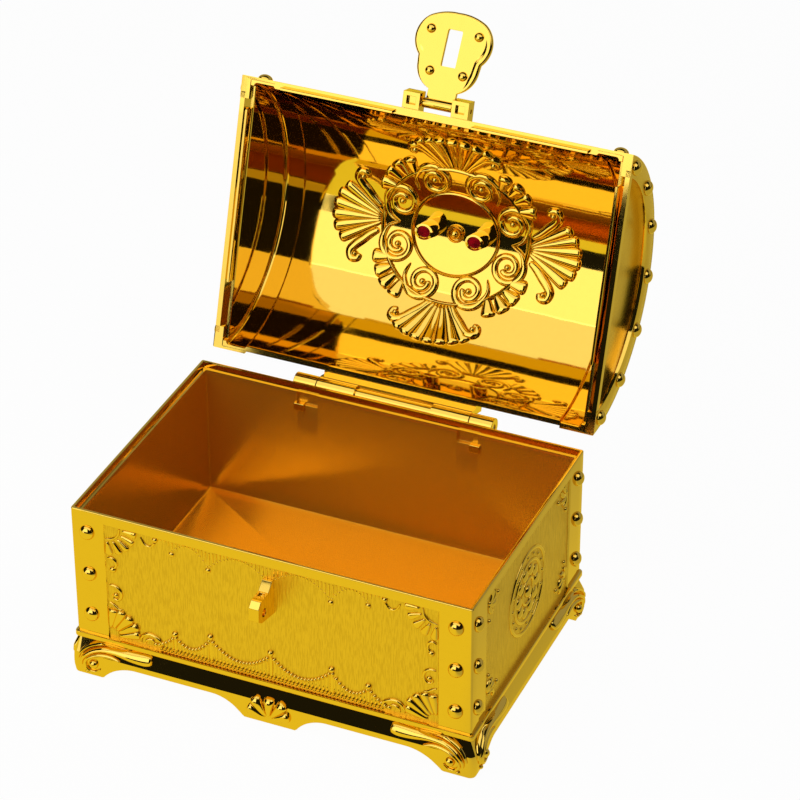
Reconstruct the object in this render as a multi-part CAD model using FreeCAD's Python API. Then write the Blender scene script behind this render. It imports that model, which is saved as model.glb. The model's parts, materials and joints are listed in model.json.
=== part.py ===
"""Barrel-topped treasure chest: tub, plinth, hinged lid, hasp and staple.

Everything is drawn about the middle of the tub's footprint, with +X to the right, -Y to the front and
+Z up. The lid and the hasp are drawn closed, then turned to the open rest pose about their pins.
At the end all pieces move together, so that the origin is under the middle of the open chest.
"""
import FreeCAD, Part
import math
import os

V = FreeCAD.Vector

# Tub
box_width = 150.0
box_depth = 103.0
rim_height = 70.0
tub_bottom = 13.5
tub_wall = 2.6
tub_floor = 2.0
rim_wall = 1.2
rim_ledge_drop = 2.5
strap_width_front = 12.4
strap_width_side = 12.5
panel_recess = 0.6
panel_top_margin = 4.0
ledge_notch_width = 8.0
ledge_notch_depth = 5.0
ledge_notch_x = 31.5

# Domed studs, moulded on the straps
stud_radius = 2.8
stud_height = 2.1
stud_root = 0.3
strap_stud_inset_front = 6.0
strap_stud_inset_side = 5.1
strap_stud_top_drop = 9.0
strap_stud_bottom_rise = 8.5
strap_stud_count = 3

# Plinth
plinth_height = 17.5
lip_reach = 1.0
lip_thickness = 2.2
neck_drop = 0.7
slope_reach = 1.75
slope_foot_height = 9.0
bulge_reach = 2.2
bulge_shoulder_height = 5.5
bulge_toe_height = 3.0
toe_undercut = 0.5
lip_seat = 1.1
lip_clearance = 0.1
arch_rise = 7.0
foot_length_front = 12.2
foot_length_side = 9.7
arch_run_front = 13.4
arch_run_side = 9.0
apron_half_width = 10.0
apron_run = 12.0
gusset_size = 12.0
gusset_under = 4.6
gusset_thickness = 2.4

# Plinth screws and the tub bosses that take them
boss_radius = 3.0
boss_clearance = 0.1
screw_radius = 1.25
screw_pilot_clearance = 0.02
screw_hole_clearance = 0.2
screw_head_radius = 2.5
screw_head_height = 1.6
screw_length = 9.0
screw_pilot_depth = 7.0

# Lid
lid_rise = 42.0
rim_gap = 0.3
lid_wall = 2.0
lid_strap_width = 13.0
lid_strap_step = 0.8
end_panel_depth = 3.0
end_wall = 2.0
end_band_width = 8.1
rim_bar_height = 2.5
end_stud_rim_gap = 6.7
end_stud_count = 7
barrel_stud_inset = 6.5
tongue_thickness = 1.0
tongue_height = 2.0
tongue_clearance = 0.4
front_tongue_gap = 30.0
front_tongue_end_margin = 16.0
side_tongue_front_margin = 12.0
side_tongue_rear_margin = 26.0
side_tongue_setback = 0.4

# Jewel on the crown of the lid, with the bosses that take its pins
seat_radius = 16.5
seat_rise = 0.6
jewel_radius = 14.0
jewel_table_radius = 8.0
jewel_girdle_height = 1.6
jewel_height = 5.5
jewel_sides = 16
jewel_pin_spread = 20.0
jewel_pin_radius = 2.45
jewel_pin_clearance = 0.03
jewel_boss_radius = 3.5
jewel_boss_depth = 7.5
jewel_pin_recess = 0.6

# Lid hinge
lid_open_angle = 107.5
hinge_setback = 4.5
hinge_drop = 3.0
knuckle_radius = 3.6
knuckle_inner = 15.0
knuckle_split = 30.0
knuckle_outer = 39.0
knuckle_gap = 0.3
hinge_pin_radius = 1.25
hinge_running_clearance = 0.05
hinge_press_clearance = 0.02
hinge_pin_end_recess = 0.4
leaf_gap = 0.4
leaf_thickness = 2.3
leaf_height = 6.7
leaf_web_radius = 2.6
leaf_seat_clearance = 0.05
heel_height = 2.8
heel_thickness = 2.6
bracket_height = 9.0
bracket_foot = 2.6
bracket_tab_width = 4.0
bracket_tab_height = 3.0
bracket_tab_rise = 2.0
bracket_hook = 1.0
bracket_fit = 0.1

# Hasp
hasp_rest_angle = 106.0
hasp_setback = 2.6
hasp_rise = 3.4
hasp_plate_offset = 1.5
hasp_barrel_radius = 1.8
hasp_barrel_half = 5.8
hasp_pin_radius = 0.8
hasp_running_clearance = 0.05
hasp_press_clearance = 0.02
hasp_thickness = 2.4
hasp_border = 1.9
hasp_border_rise = 0.7
hasp_neck_half = 5.4
hasp_neck_length = 5.2
hasp_length = 33.5
hasp_half_width = 14.6
hasp_slot_width = 5.7
hasp_slot_length = 13.4
hasp_slot_middle = 20.6
hasp_stud_radius = 1.75
hasp_stud_height = 1.4
ear_inner = 6.1
ear_width = 6.5
ear_front = 3.4
ear_top = 2.6
ear_bottom_gap = 0.3
ear_skin = 1.5
ear_pocket_depth = 1.6
ear_seat_clearance = 0.05
ear_pin_recess = 0.6
# Points of the outline, as shares of the half width and of the length: lower lobe, kink and upper lobe
lower_lobe_shares = ((0.698, 0.271), (0.800, 0.412), (0.822, 0.495))
upper_lobe_shares = ((1.000, 0.724), (0.718, 0.930))
tip_arc_shares = (0.384, 0.986)
# Places of the four studs on the plate, as shares of the half width and of the length
hasp_stud_shares = ((0.627, 0.785), (0.432, 0.346))

# Lock staple
staple_width = 3.8
staple_reach = 11.85
staple_height = 14.1
staple_top_drop = 9.0
staple_hole_radius = 1.5
staple_hole_reach_share = 0.63
staple_hole_height_share = 0.40
staple_pocket = 1.8
staple_pocket_depth = 1.0
staple_pocket_reach_share = 0.49
staple_tail_height = 6.8
staple_tail_width = 2.8
staple_tail_hook = 1.2
staple_tail_clearance = 0.1
staple_tail_drop = 3.1
# Outline of the staple: reach from the wall and height above its lowest point, as shares
staple_outline_shares = ((0.00, 1.00), (0.104, 1.00), (0.289, 0.865), (0.361, 0.816), (0.82, 0.81),
                         (0.98, 0.67), (1.00, 0.32), (0.79, 0.17), (0.00, 0.00))

# How far a cutting shape runs past what it cuts
overrun = 5.0

# Worked out from the sizes above
half_width = box_width / 2
half_depth = box_depth / 2
lid_radius = (half_depth ** 2 + lid_rise ** 2) / (2 * lid_rise)
lid_centre = rim_height + lid_rise - lid_radius
lid_rim = rim_height + rim_gap
vault_radius = lid_radius - lid_strap_step
crown = lid_centre + vault_radius
hinge_y = half_depth + hinge_setback
hinge_z = rim_height - hinge_drop
hasp_y = -half_depth - hasp_setback
hasp_z = rim_height + hasp_rise
plate_y = hasp_y - hasp_plate_offset
panel_top = rim_height - panel_top_margin
front_panel_half = half_width - strap_width_front
side_panel_half = half_depth - strap_width_side
strap_stud_span = rim_height - strap_stud_top_drop - plinth_height - strap_stud_bottom_rise
strap_stud_pitch = strap_stud_span / (strap_stud_count - 1)
rim_angle = math.acos((lid_rim - lid_centre) / lid_radius)
end_stud_pitch_angle = 2 * (rim_angle - end_stud_rim_gap / lid_radius) / (end_stud_count - 1)
boss_x = half_width - lip_seat - gusset_size / 2
boss_y = half_depth - lip_seat - gusset_size / 2
gusset_top = gusset_under + gusset_thickness
boss_bottom = gusset_top + boss_clearance
bracket_bottom = hinge_z - bracket_height
staple_bottom = rim_height - staple_top_drop - staple_height
staple_root = half_depth - panel_recess


def block(x, y, z):
    """Box between a low and a high limit along each axis."""
    return Part.makeBox(x[1] - x[0], y[1] - y[0], z[1] - z[0], V(x[0], y[0], z[0]))


def ring_block(half_x, half_y, z):
    """Box of the given half width and half depth about the Z axis."""
    return block((-half_x, half_x), (-half_y, half_y), z)


def rod_x(radius, x, y, z):
    """Round rod along X at one place in the YZ plane."""
    return Part.makeCylinder(radius, x[1] - x[0], V(x[0], y, z), V(1, 0, 0))


def drum(radius, x):
    """Round rod along X about the axis of the lid's barrel."""
    return rod_x(radius, x, 0, lid_centre)


def face(place, start, *steps):
    """Closed flat face: a step is one end point, or a point on an arc and the arc's end point."""
    edges = []
    here = place(*start)
    for step in list(steps) + [(start,)]:
        end = place(*step[-1])
        if here.distanceToPoint(end) > 0:
            if len(step) > 1:
                edges.append(Part.Arc(here, place(*step[0]), end).toShape())
            else:
                edges.append(Part.LineSegment(here, end).toShape())
        here = end
    return Part.Face(Part.Wire(edges))


def polygon_x(points, x):
    """Polygon in the YZ plane, carried along X."""
    flat = face(lambda y, z: V(x[0], y, z), points[0], *[(point,) for point in points[1:]])
    return flat.extrude(V(x[1] - x[0], 0, 0))


def vault(radius, x, bottom):
    """Part of a drum about the axis of the lid's barrel that lies above one level."""
    half = math.sqrt(radius ** 2 - (bottom - lid_centre) ** 2)
    flat = face(lambda y, z: V(x[0], y, z), (-half, bottom), ((0, lid_centre + radius), (half, bottom)))
    return flat.extrude(V(x[1] - x[0], 0, 0))


def mirrored(shape):
    """The same piece on the other side of the YZ plane."""
    return shape.mirror(V(0, 0, 0), V(1, 0, 0))


def both_sides(shape):
    """The piece and its mirror image, as one list."""
    return [shape, mirrored(shape)]


def stud(at, out, radius, height, root):
    """Domed stud: a round cap of the given foot radius and height, with a root that enters the wall."""
    cap_radius = (radius ** 2 + height ** 2) / (2 * height)
    middle = math.asin(radius / cap_radius) / 2
    shoulder = (cap_radius * math.sin(middle), height - cap_radius * (1 - math.cos(middle)))
    flat = face(lambda r, h: V(r, 0, h), (0, -root), ((radius, -root),), ((radius, 0),),
                (shoulder, (0, height)))
    dome = flat.revolve(V(0, 0, 0), V(0, 0, 1), 360)
    dome.Placement = FreeCAD.Placement(at, FreeCAD.Rotation(V(0, 0, 1), out))
    return dome


def open_lid(shape):
    """Turn a piece of the closed lid back to the open stop."""
    turned = shape.copy()
    turned.rotate(V(0, hinge_y, hinge_z), V(1, 0, 0), -lid_open_angle)
    return turned


def lift_hasp(shape):
    """Turn a piece of the hanging hasp up to its rest angle, then back with the lid."""
    turned = shape.copy()
    turned.rotate(V(0, hasp_y, hasp_z), V(1, 0, 0), -hasp_rest_angle)
    return open_lid(turned)


def strap_studs():
    """Studs on the corner straps of all four walls."""
    studs = []
    for row in range(strap_stud_count):
        height = rim_height - strap_stud_top_drop - row * strap_stud_pitch
        for side in (-1, 1):
            for facing in (-1, 1):
                front = V(side * (half_width - strap_stud_inset_front), facing * half_depth, height)
                end = V(facing * half_width, side * (half_depth - strap_stud_inset_side), height)
                studs.append(stud(front, V(0, facing, 0), stud_radius, stud_height, stud_root))
                studs.append(stud(end, V(facing, 0, 0), stud_radius, stud_height, stud_root))
    return studs


def base_box():
    """Tub: stepped foot for the plinth's lip, sunk panels, ledge inside the rim, studs and screw bosses."""
    foot_inset = lip_seat + lip_clearance
    walls = ring_block(half_width, half_depth, (plinth_height, rim_height))
    foot = ring_block(half_width - foot_inset, half_depth - foot_inset, (tub_bottom, plinth_height))
    inner = ring_block(half_width - tub_wall, half_depth - tub_wall,
                       (tub_bottom + tub_floor, rim_height + overrun))
    rim = ring_block(half_width - rim_wall, half_depth - rim_wall,
                     (rim_height - rim_ledge_drop, rim_height + overrun))
    panel_z = (plinth_height, panel_top)
    front_x = (-front_panel_half, front_panel_half)
    side_y = (-side_panel_half, side_panel_half)
    rear_z = (plinth_height, bracket_bottom - bracket_foot)
    cuts = [inner, rim,
            block(front_x, (-half_depth - overrun, panel_recess - half_depth), panel_z),
            block(front_x, (half_depth - panel_recess, half_depth + overrun), rear_z),
            block((half_width - panel_recess, half_width + overrun), side_y, panel_z),
            block((-half_width - overrun, panel_recess - half_width), side_y, panel_z)]
    notch_x = (ledge_notch_x - ledge_notch_width / 2, ledge_notch_x + ledge_notch_width / 2)
    notch = block(notch_x, (half_depth - tub_wall - overrun, half_depth - rim_wall),
                  (rim_height - rim_ledge_drop - ledge_notch_depth, rim_height))
    cuts += both_sides(notch)
    cuts += both_sides(bracket_tab(bracket_fit))
    cuts.append(staple_tail(staple_tail_clearance))
    bosses = []
    for x in (-boss_x, boss_x):
        for y in (-boss_y, boss_y):
            bosses.append(Part.makeCylinder(boss_radius, tub_bottom - boss_bottom, V(x, y, boss_bottom)))
            cuts.append(Part.makeCylinder(screw_radius + screw_pilot_clearance, screw_pilot_depth,
                                          V(x, y, boss_bottom)))
    return walls.multiFuse([foot] + bosses + strap_studs()).cut(cuts).removeSplitter()


def plinth_outline(place, half_span):
    """Section through the plinth: lip, neck, slope, round bulge and toe, the same on both sides."""
    neck_height = plinth_height - lip_thickness
    throat = neck_height - neck_drop
    bulge = half_span + bulge_reach
    toe = bulge - toe_undercut
    slope_foot = half_span + slope_reach
    round_height = slope_foot_height - bulge_shoulder_height
    round_reach = bulge_reach - slope_reach
    round_radius = (round_height ** 2 + round_reach ** 2) / (2 * round_reach)
    turn = math.asin(round_height / round_radius) / 2

    def side(sign):
        """Points from the lip's top edge down to the toe, on one side."""
        round_point = (bulge - round_radius * (1 - math.cos(turn)),
                       bulge_shoulder_height + round_radius * math.sin(turn))
        points = [(half_span + lip_reach, plinth_height), (half_span + lip_reach, neck_height),
                  (half_span, throat), (slope_foot, slope_foot_height), round_point,
                  (bulge, bulge_shoulder_height), (bulge, bulge_toe_height), (toe, 0)]
        return [(sign * across, up) for across, up in points]

    right = side(1)
    left = side(-1)
    return face(place, right[0], (right[1],), (right[2],), (right[3],), (right[4], right[5]),
                (right[6],), (right[7],), (left[7],), (left[6],), (left[5],), (left[4], left[3]),
                (left[2],), (left[1],), (left[0],))


def arch(place, outer, inner, run_outer, run_inner):
    """Opening under a skirt between two feet, with round shoulders that start level."""
    def shoulder(level, run, sign):
        """Level end, middle and low end of the quarter curve at one end of the opening."""
        radius = (run ** 2 + arch_rise ** 2) / (2 * arch_rise)
        turn = math.asin(run / radius) / 2
        middle = (level + sign * radius * math.sin(turn), arch_rise - radius * (1 - math.cos(turn)))
        return (level, arch_rise), middle, (level + sign * run, 0)

    top_a, middle_a, low_a = shoulder(outer - run_outer, run_outer, 1)
    top_b, middle_b, low_b = shoulder(inner + run_inner, run_inner, -1)
    return face(place, low_a, (middle_a, top_a), (top_b,), (middle_b, low_b),
                ((low_b[0], -overrun),), ((low_a[0], -overrun),))


def plinth_frame():
    """Hollow plinth: moulded section all round, cut away to bracket feet and a front and rear apron."""
    reach_x = half_width + bulge_reach + overrun
    reach_y = half_depth + bulge_reach + overrun
    along_x = plinth_outline(lambda y, z: V(-reach_x, y, z), half_depth).extrude(V(2 * reach_x, 0, 0))
    along_y = plinth_outline(lambda x, z: V(x, -reach_y, z), half_width).extrude(V(0, 2 * reach_y, 0))
    body = along_x.common(along_y)
    hollow_x = half_width - lip_seat
    hollow_y = half_depth - lip_seat
    cuts = [ring_block(hollow_x, hollow_y, (-overrun, plinth_height + overrun))]
    foot_x = half_width + bulge_reach - foot_length_front
    foot_y = half_depth + bulge_reach - foot_length_side
    front = arch(lambda x, z: V(x, -reach_y, z), foot_x, apron_half_width, arch_run_front, apron_run)
    cuts += both_sides(front.extrude(V(0, 2 * reach_y, 0)))
    side = arch(lambda y, z: V(-reach_x, y, z), foot_y, -foot_y, arch_run_side, arch_run_side)
    cuts.append(side.extrude(V(2 * reach_x, 0, 0)))
    body = body.cut(cuts)
    gussets = []
    for x in (-1, 1):
        for y in (-1, 1):
            limits_x = sorted((x * (hollow_x - gusset_size), x * (hollow_x + lip_seat)))
            limits_y = sorted((y * (hollow_y - gusset_size), y * (hollow_y + lip_seat)))
            plate = block(limits_x, limits_y, (gusset_under, gusset_top))
            hole = Part.makeCylinder(screw_radius + screw_hole_clearance, gusset_thickness + 2 * overrun,
                                     V(x * boss_x, y * boss_y, gusset_under - overrun))
            gussets.append(plate.cut(hole))
    return body.multiFuse(gussets).removeSplitter()


def plinth_screws():
    """Four screws from below, heads against the gussets and shanks in the tub's bosses."""
    screws = []
    for x in (-boss_x, boss_x):
        for y in (-boss_y, boss_y):
            head = Part.makeCylinder(screw_head_radius, screw_head_height,
                                     V(x, y, gusset_under - screw_head_height))
            shank = Part.makeCylinder(screw_radius, screw_length, V(x, y, gusset_under))
            screws.append(head.fuse(shank).removeSplitter())
    return Part.makeCompound(screws)


def staple_tail(clearance):
    """Tail of the staple through the front wall, or the slot for it when a clearance is given."""
    top = staple_bottom + staple_height - staple_tail_drop
    half = staple_tail_width / 2 + clearance
    return block((-half, half), (-staple_root, tub_wall - half_depth + staple_tail_hook),
                 (top - staple_tail_height - clearance, top + clearance))


def lock_staple():
    """Lug on the front wall: stepped top with a small pocket, padlock hole, and a tail through the wall."""
    reach = staple_reach + panel_recess
    points = [(-staple_root - out * reach, staple_bottom + up * staple_height)
              for out, up in staple_outline_shares]
    half = staple_width / 2
    lug = polygon_x(points, (-half, half)).fuse(staple_tail(0)).removeSplitter()
    hole = rod_x(staple_hole_radius, (-half - overrun, half + overrun),
                 -staple_root - staple_hole_reach_share * reach,
                 staple_bottom + staple_hole_height_share * staple_height)
    pocket_y = -staple_root - staple_pocket_reach_share * reach
    floor = staple_bottom + staple_outline_shares[4][1] * staple_height - staple_pocket_depth
    pocket = block((-staple_pocket / 2, staple_pocket / 2),
                   (pocket_y - staple_pocket / 2, pocket_y + staple_pocket / 2),
                   (floor, floor + staple_pocket_depth + overrun))
    return lug.cut([hole, pocket])


def bracket_tab(clearance):
    """Tab of the right hinge bracket through the rear wall, or its slot when a clearance is given."""
    middle = (knuckle_split + knuckle_outer) / 2
    half = bracket_tab_width / 2 + clearance
    bottom = bracket_bottom + bracket_tab_rise
    return block((middle - half, middle + half), (half_depth - tub_wall - bracket_hook, half_depth),
                 (bottom - clearance, bottom + bracket_tab_height + clearance))


def hinge_bracket():
    """Right hinge bracket: a leg on the rear wall that carries the outer knuckle, and its tab."""
    x = (knuckle_split + knuckle_gap / 2, knuckle_outer)
    knuckle = rod_x(knuckle_radius, x, hinge_y, hinge_z)
    leg = polygon_x([(half_depth, bracket_bottom), (half_depth + bracket_foot, bracket_bottom),
                     (hinge_y + knuckle_radius, hinge_z), (half_depth, hinge_z)], x)
    bore = rod_x(hinge_pin_radius + hinge_press_clearance, (x[0] - overrun, x[1] + overrun),
                 hinge_y, hinge_z)
    return knuckle.multiFuse([leg, bracket_tab(0)]).cut(bore).removeSplitter()


def hinge_pin():
    """Right hinge pin, through the bracket's knuckle into the leaf's knuckle."""
    x = (knuckle_inner - hinge_pin_end_recess, knuckle_outer - hinge_pin_end_recess)
    return rod_x(hinge_pin_radius, x, hinge_y, hinge_z)


def hinge_leaf():
    """Plate on the rear of the lid with two knuckles, a thinner web between them and two stop heels."""
    inner_face = half_depth + leaf_gap
    outer_face = inner_face + leaf_thickness
    half = knuckle_split - knuckle_gap / 2
    plate = block((-half, half), (half_depth - leaf_thickness, outer_face),
                  (lid_rim, lid_rim + leaf_height))
    web = polygon_x([(inner_face, lid_rim), (outer_face, lid_rim), (hinge_y + leaf_web_radius, hinge_z),
                     (inner_face, hinge_z)], (-half, half))
    core = rod_x(leaf_web_radius, (-half, half), hinge_y, hinge_z)
    solids = [web, core]
    bores = []
    knuckle_x = (knuckle_inner, half)
    for turn in (lambda shape: shape, mirrored):
        solids.append(turn(rod_x(knuckle_radius, knuckle_x, hinge_y, hinge_z)))
        solids.append(turn(polygon_x([(inner_face, lid_rim), (outer_face, lid_rim),
                                      (hinge_y + knuckle_radius, hinge_z), (inner_face, hinge_z)],
                                     knuckle_x)))
        heel = block(knuckle_x, (inner_face, inner_face + heel_thickness), (hinge_z - heel_height, hinge_z))
        heel.rotate(V(0, hinge_y, hinge_z), V(1, 0, 0), lid_open_angle)
        solids.append(turn(heel))
        bores.append(turn(rod_x(hinge_pin_radius + hinge_running_clearance,
                                (knuckle_inner - 2 * hinge_pin_end_recess, knuckle_split),
                                hinge_y, hinge_z)))
    seat = drum(vault_radius + leaf_seat_clearance, (-half_width, half_width))
    return plate.cut(seat).multiFuse(solids).cut(bores).removeSplitter()


def lid_studs():
    """Studs round the two end bands, and the same row round each strap on the barrel."""
    studs = []
    band_radius = lid_radius - end_band_width / 2
    for step in range(end_stud_count):
        angle = (step - (end_stud_count - 1) / 2) * end_stud_pitch_angle
        out = V(0, math.sin(angle), math.cos(angle))
        middle = V(0, 0, lid_centre)
        for side in (-1, 1):
            end = middle + out * band_radius + V(side * half_width, 0, 0)
            strap = middle + out * lid_radius + V(side * (half_width - barrel_stud_inset), 0, 0)
            studs.append(stud(end, V(side, 0, 0), stud_radius, stud_height, stud_root))
            studs.append(stud(strap, out, stud_radius, stud_height, 2 * stud_root))
    return studs


def lid_tongues():
    """Locating tongues under the front rim and under both end walls."""
    z = (lid_rim - tongue_height, lid_rim + tongue_height)
    front = rim_wall + tongue_clearance - half_depth
    front_x = (front_tongue_gap / 2, half_width - front_tongue_end_margin)
    end = half_width - end_panel_depth - side_tongue_setback
    end_y = (side_tongue_front_margin - half_depth, half_depth - side_tongue_rear_margin)
    return (both_sides(block(front_x, (front, front + tongue_thickness), z))
            + both_sides(block((end - tongue_thickness, end), end_y, z)))


def lid_shell():
    """Barrel vault with raised straps, bars along the rim, sunk end walls, studs, tongues and bosses."""
    strap_inner = half_width - lid_strap_width
    wall_outer = half_width - end_panel_depth
    wall_inner = wall_outer - end_wall
    below = lid_rim - overrun
    strap = vault(lid_radius, (strap_inner, half_width), lid_rim)
    front_bar = vault(lid_radius, (-strap_inner, strap_inner), lid_rim).common(
        block((-half_width, half_width), (-half_depth - overrun, 0), (lid_rim, lid_rim + rim_bar_height)))
    barrel = vault(vault_radius, (-strap_inner, strap_inner), lid_rim)
    barrel = barrel.multiFuse([front_bar] + both_sides(strap))
    hollow = [vault(vault_radius - lid_wall, (-strap_inner, strap_inner), below)]
    hollow += both_sides(vault(lid_radius - lid_wall, (strap_inner, wall_inner), below))
    hollow += both_sides(vault(lid_radius - end_band_width, (wall_outer, half_width + overrun),
                               lid_rim + rim_bar_height))
    seat_top = crown + seat_rise
    seat_bottom = crown - lid_wall - seat_radius ** 2 / vault_radius
    seat = Part.makeCylinder(seat_radius, seat_top - seat_bottom, V(0, 0, seat_bottom))
    bosses = []
    holes = []
    for x in (-jewel_pin_spread / 2, jewel_pin_spread / 2):
        bottom = crown - lid_wall - jewel_boss_depth
        bosses.append(Part.makeCylinder(jewel_boss_radius, crown - bottom, V(x, 0, bottom)))
        holes.append(Part.makeCylinder(jewel_pin_radius + jewel_pin_clearance,
                                       seat_top - bottom + 2 * overrun, V(x, 0, bottom - overrun)))
    shell = barrel.fuse(seat).cut(hollow).multiFuse(bosses + lid_tongues() + lid_studs())
    return shell.cut(holes).removeSplitter()


def ring_wire(radius, height):
    """Regular polygon of the jewel, at one height."""
    corners = []
    for step in range(jewel_sides + 1):
        angle = 2 * math.pi * step / jewel_sides
        corners.append(V(radius * math.cos(angle), radius * math.sin(angle), height))
    return Part.makePolygon(corners)


def lid_jewel():
    """Faceted stone on the crown seat, with two pins through the bosses."""
    base = crown + seat_rise
    girdle = base + jewel_girdle_height
    lower = Part.Face(ring_wire(jewel_radius, base)).extrude(V(0, 0, jewel_girdle_height))
    table = ring_wire(jewel_table_radius, base + jewel_height)
    upper = Part.makeLoft([ring_wire(jewel_radius, girdle), table], True, True)
    stone = lower.fuse(upper)
    tip = crown - lid_wall - jewel_boss_depth + jewel_pin_recess
    pins = [Part.makeCylinder(jewel_pin_radius, base - tip, V(x, 0, tip))
            for x in (-jewel_pin_spread / 2, jewel_pin_spread / 2)]
    return stone.multiFuse(pins).removeSplitter()


def hasp_ear():
    """Right hasp ear: a hollow block on the lid's front rim, bored for the pin."""
    x = (ear_inner, ear_inner + ear_width)
    y = (hasp_y - ear_front, 0)
    z = (lid_rim + ear_bottom_gap, hasp_z + ear_top)
    solid = block(x, y, z).cut(drum(lid_radius + ear_seat_clearance, (-half_width, half_width)))
    pocket = block((x[0] + ear_skin, x[1] - ear_skin), (y[0] + ear_skin, -half_depth - ear_skin),
                   (z[0], z[0] + ear_pocket_depth))
    bore = rod_x(hasp_pin_radius + hasp_press_clearance, (x[0] - overrun, x[1] + overrun), hasp_y, hasp_z)
    return solid.cut([pocket, bore])


def hasp_pin():
    """Pin through both ears and the barrel of the hasp."""
    half = ear_inner + ear_width - ear_pin_recess
    return rod_x(hasp_pin_radius, (-half, half), hasp_y, hasp_z)


def hasp_outline(depth):
    """Lobed outline of the hanging plate at one place in Y, with the neck at the top."""
    def place(across, down):
        """Point of the plate, from its half width and its distance below the pin."""
        return V(across, depth, hasp_z - down)

    def scaled(share, side):
        """A point given in shares of the plate's half width and length."""
        return (side * share[0] * hasp_half_width, share[1] * hasp_length)

    def lobes(side):
        """Arcs from the neck round both lobes to the tip, on one side."""
        lower = [scaled(share, side) for share in lower_lobe_shares]
        upper = [scaled(share, side) for share in upper_lobe_shares]
        return [(lower[0], lower[1]), (lower[2],), (upper[0], upper[1]),
                (scaled(tip_arc_shares, side), (0, hasp_length))]

    right = lobes(1)
    left = lobes(-1)
    ends = [(-hasp_neck_half, hasp_neck_length)] + [step[-1] for step in left[:-1]]
    back = [left[3][:1] + (ends[3],), left[2][:1] + (ends[2],), (ends[1],), left[0][:1] + (ends[0],)]
    return face(place, (-hasp_neck_half, 0), ((hasp_neck_half, 0),), ((hasp_neck_half, hasp_neck_length),),
                *right, *back)


def hasp_plate():
    """Hanging hasp: barrel, lobed plate with a raised border, slot, and studs on both faces."""
    inner = plate_y + hasp_thickness / 2
    outline = hasp_outline(plate_y - hasp_thickness / 2)
    plate = outline.extrude(V(0, hasp_thickness, 0))
    sunk = outline.OuterWire.makeOffset2D(-hasp_border)
    field = Part.Face(sunk).extrude(V(0, hasp_border_rise, 0))
    field.translate(V(0, hasp_thickness - hasp_border_rise, 0))
    keep = block((-box_width, box_width), (-box_depth, 0), (hasp_z - box_depth, hasp_z - hasp_neck_length))
    slot_z = hasp_z - hasp_slot_middle
    slot = block((-hasp_slot_width / 2, hasp_slot_width / 2),
                 (plate_y - hasp_thickness - overrun, plate_y + hasp_thickness + overrun),
                 (slot_z - hasp_slot_length / 2, slot_z + hasp_slot_length / 2))
    barrel_x = (-hasp_barrel_half, hasp_barrel_half)
    bore = rod_x(hasp_pin_radius + hasp_running_clearance,
                 (barrel_x[0] - overrun, barrel_x[1] + overrun), hasp_y, hasp_z)
    studs = []
    for across, down in hasp_stud_shares:
        for side in (-1, 1):
            spot = V(side * across * hasp_half_width, 0, hasp_z - down * hasp_length)
            for facing in (-1, 1):
                surface = inner - hasp_border_rise if facing > 0 else plate_y - hasp_thickness / 2
                studs.append(stud(spot + V(0, surface, 0), V(0, facing, 0), hasp_stud_radius,
                                  hasp_stud_height, stud_root))
    barrel = rod_x(hasp_barrel_radius, barrel_x, hasp_y, hasp_z)
    solid = plate.cut(field.common(keep)).multiFuse([barrel] + studs)
    return solid.cut([slot, bore]).removeSplitter()


def build():
    """Every piece by its node name, in the open rest pose about the tub's footprint."""
    bracket = hinge_bracket()
    pin = hinge_pin()
    ear = hasp_ear()
    return {
        "base_box": base_box(),
        "plinth_frame": plinth_frame(),
        "plinth_screws": plinth_screws(),
        "lock_staple": lock_staple(),
        "hinge_bracket_right": bracket,
        "hinge_bracket_left": mirrored(bracket),
        "hinge_pin_right": pin,
        "hinge_pin_left": mirrored(pin),
        "hinge_leaf": open_lid(hinge_leaf()),
        "lid_shell": open_lid(lid_shell()),
        "lid_jewel": open_lid(lid_jewel()),
        "hasp_ear_right": open_lid(ear),
        "hasp_ear_left": open_lid(mirrored(ear)),
        "hasp_pin": open_lid(hasp_pin()),
        "hasp_plate": lift_hasp(hasp_plate()),
    }


def main():
    """Build the pieces, set the origin under the middle of the open chest and write one file each."""
    pieces = build()
    bounds = Part.makeCompound(list(pieces.values())).optimalBoundingBox()
    shift = V(-(bounds.XMin + bounds.XMax) / 2, -(bounds.YMin + bounds.YMax) / 2, -bounds.ZMin)
    os.makedirs("parts", exist_ok=True)
    for name, shape in pieces.items():
        moved = shape.copy()
        moved.translate(shift)
        moved.exportStep("parts/" + name + ".step")
        print(name, "solids", len(moved.Solids), "volume", round(moved.Volume, 2), "valid", moved.isValid())
    pivot = open_lid(Part.Vertex(V(0, hasp_y, hasp_z))).Point
    print("box", bounds)
    print("shift", shift)
    print("lid axis", V(0, hinge_y, hinge_z) + shift, "hasp axis", pivot + shift)


main()
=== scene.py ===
"""Looks of the barrel-topped treasure chest: plated skins, moulded relief, red stone and a plain studio.

Every shape is worked out in millimetres on the closed chest, about the middle of the tub's footprint, with
+X to the right, -Y to the front and +Z up. The lid and the hasp are then turned to the open rest pose.
"""
import cmath
import json
import math
from functools import partial

import bmesh
import bpy
import numpy as np
from bpy.props import FloatProperty, FloatVectorProperty, PointerProperty
from mathutils import Matrix


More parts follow.
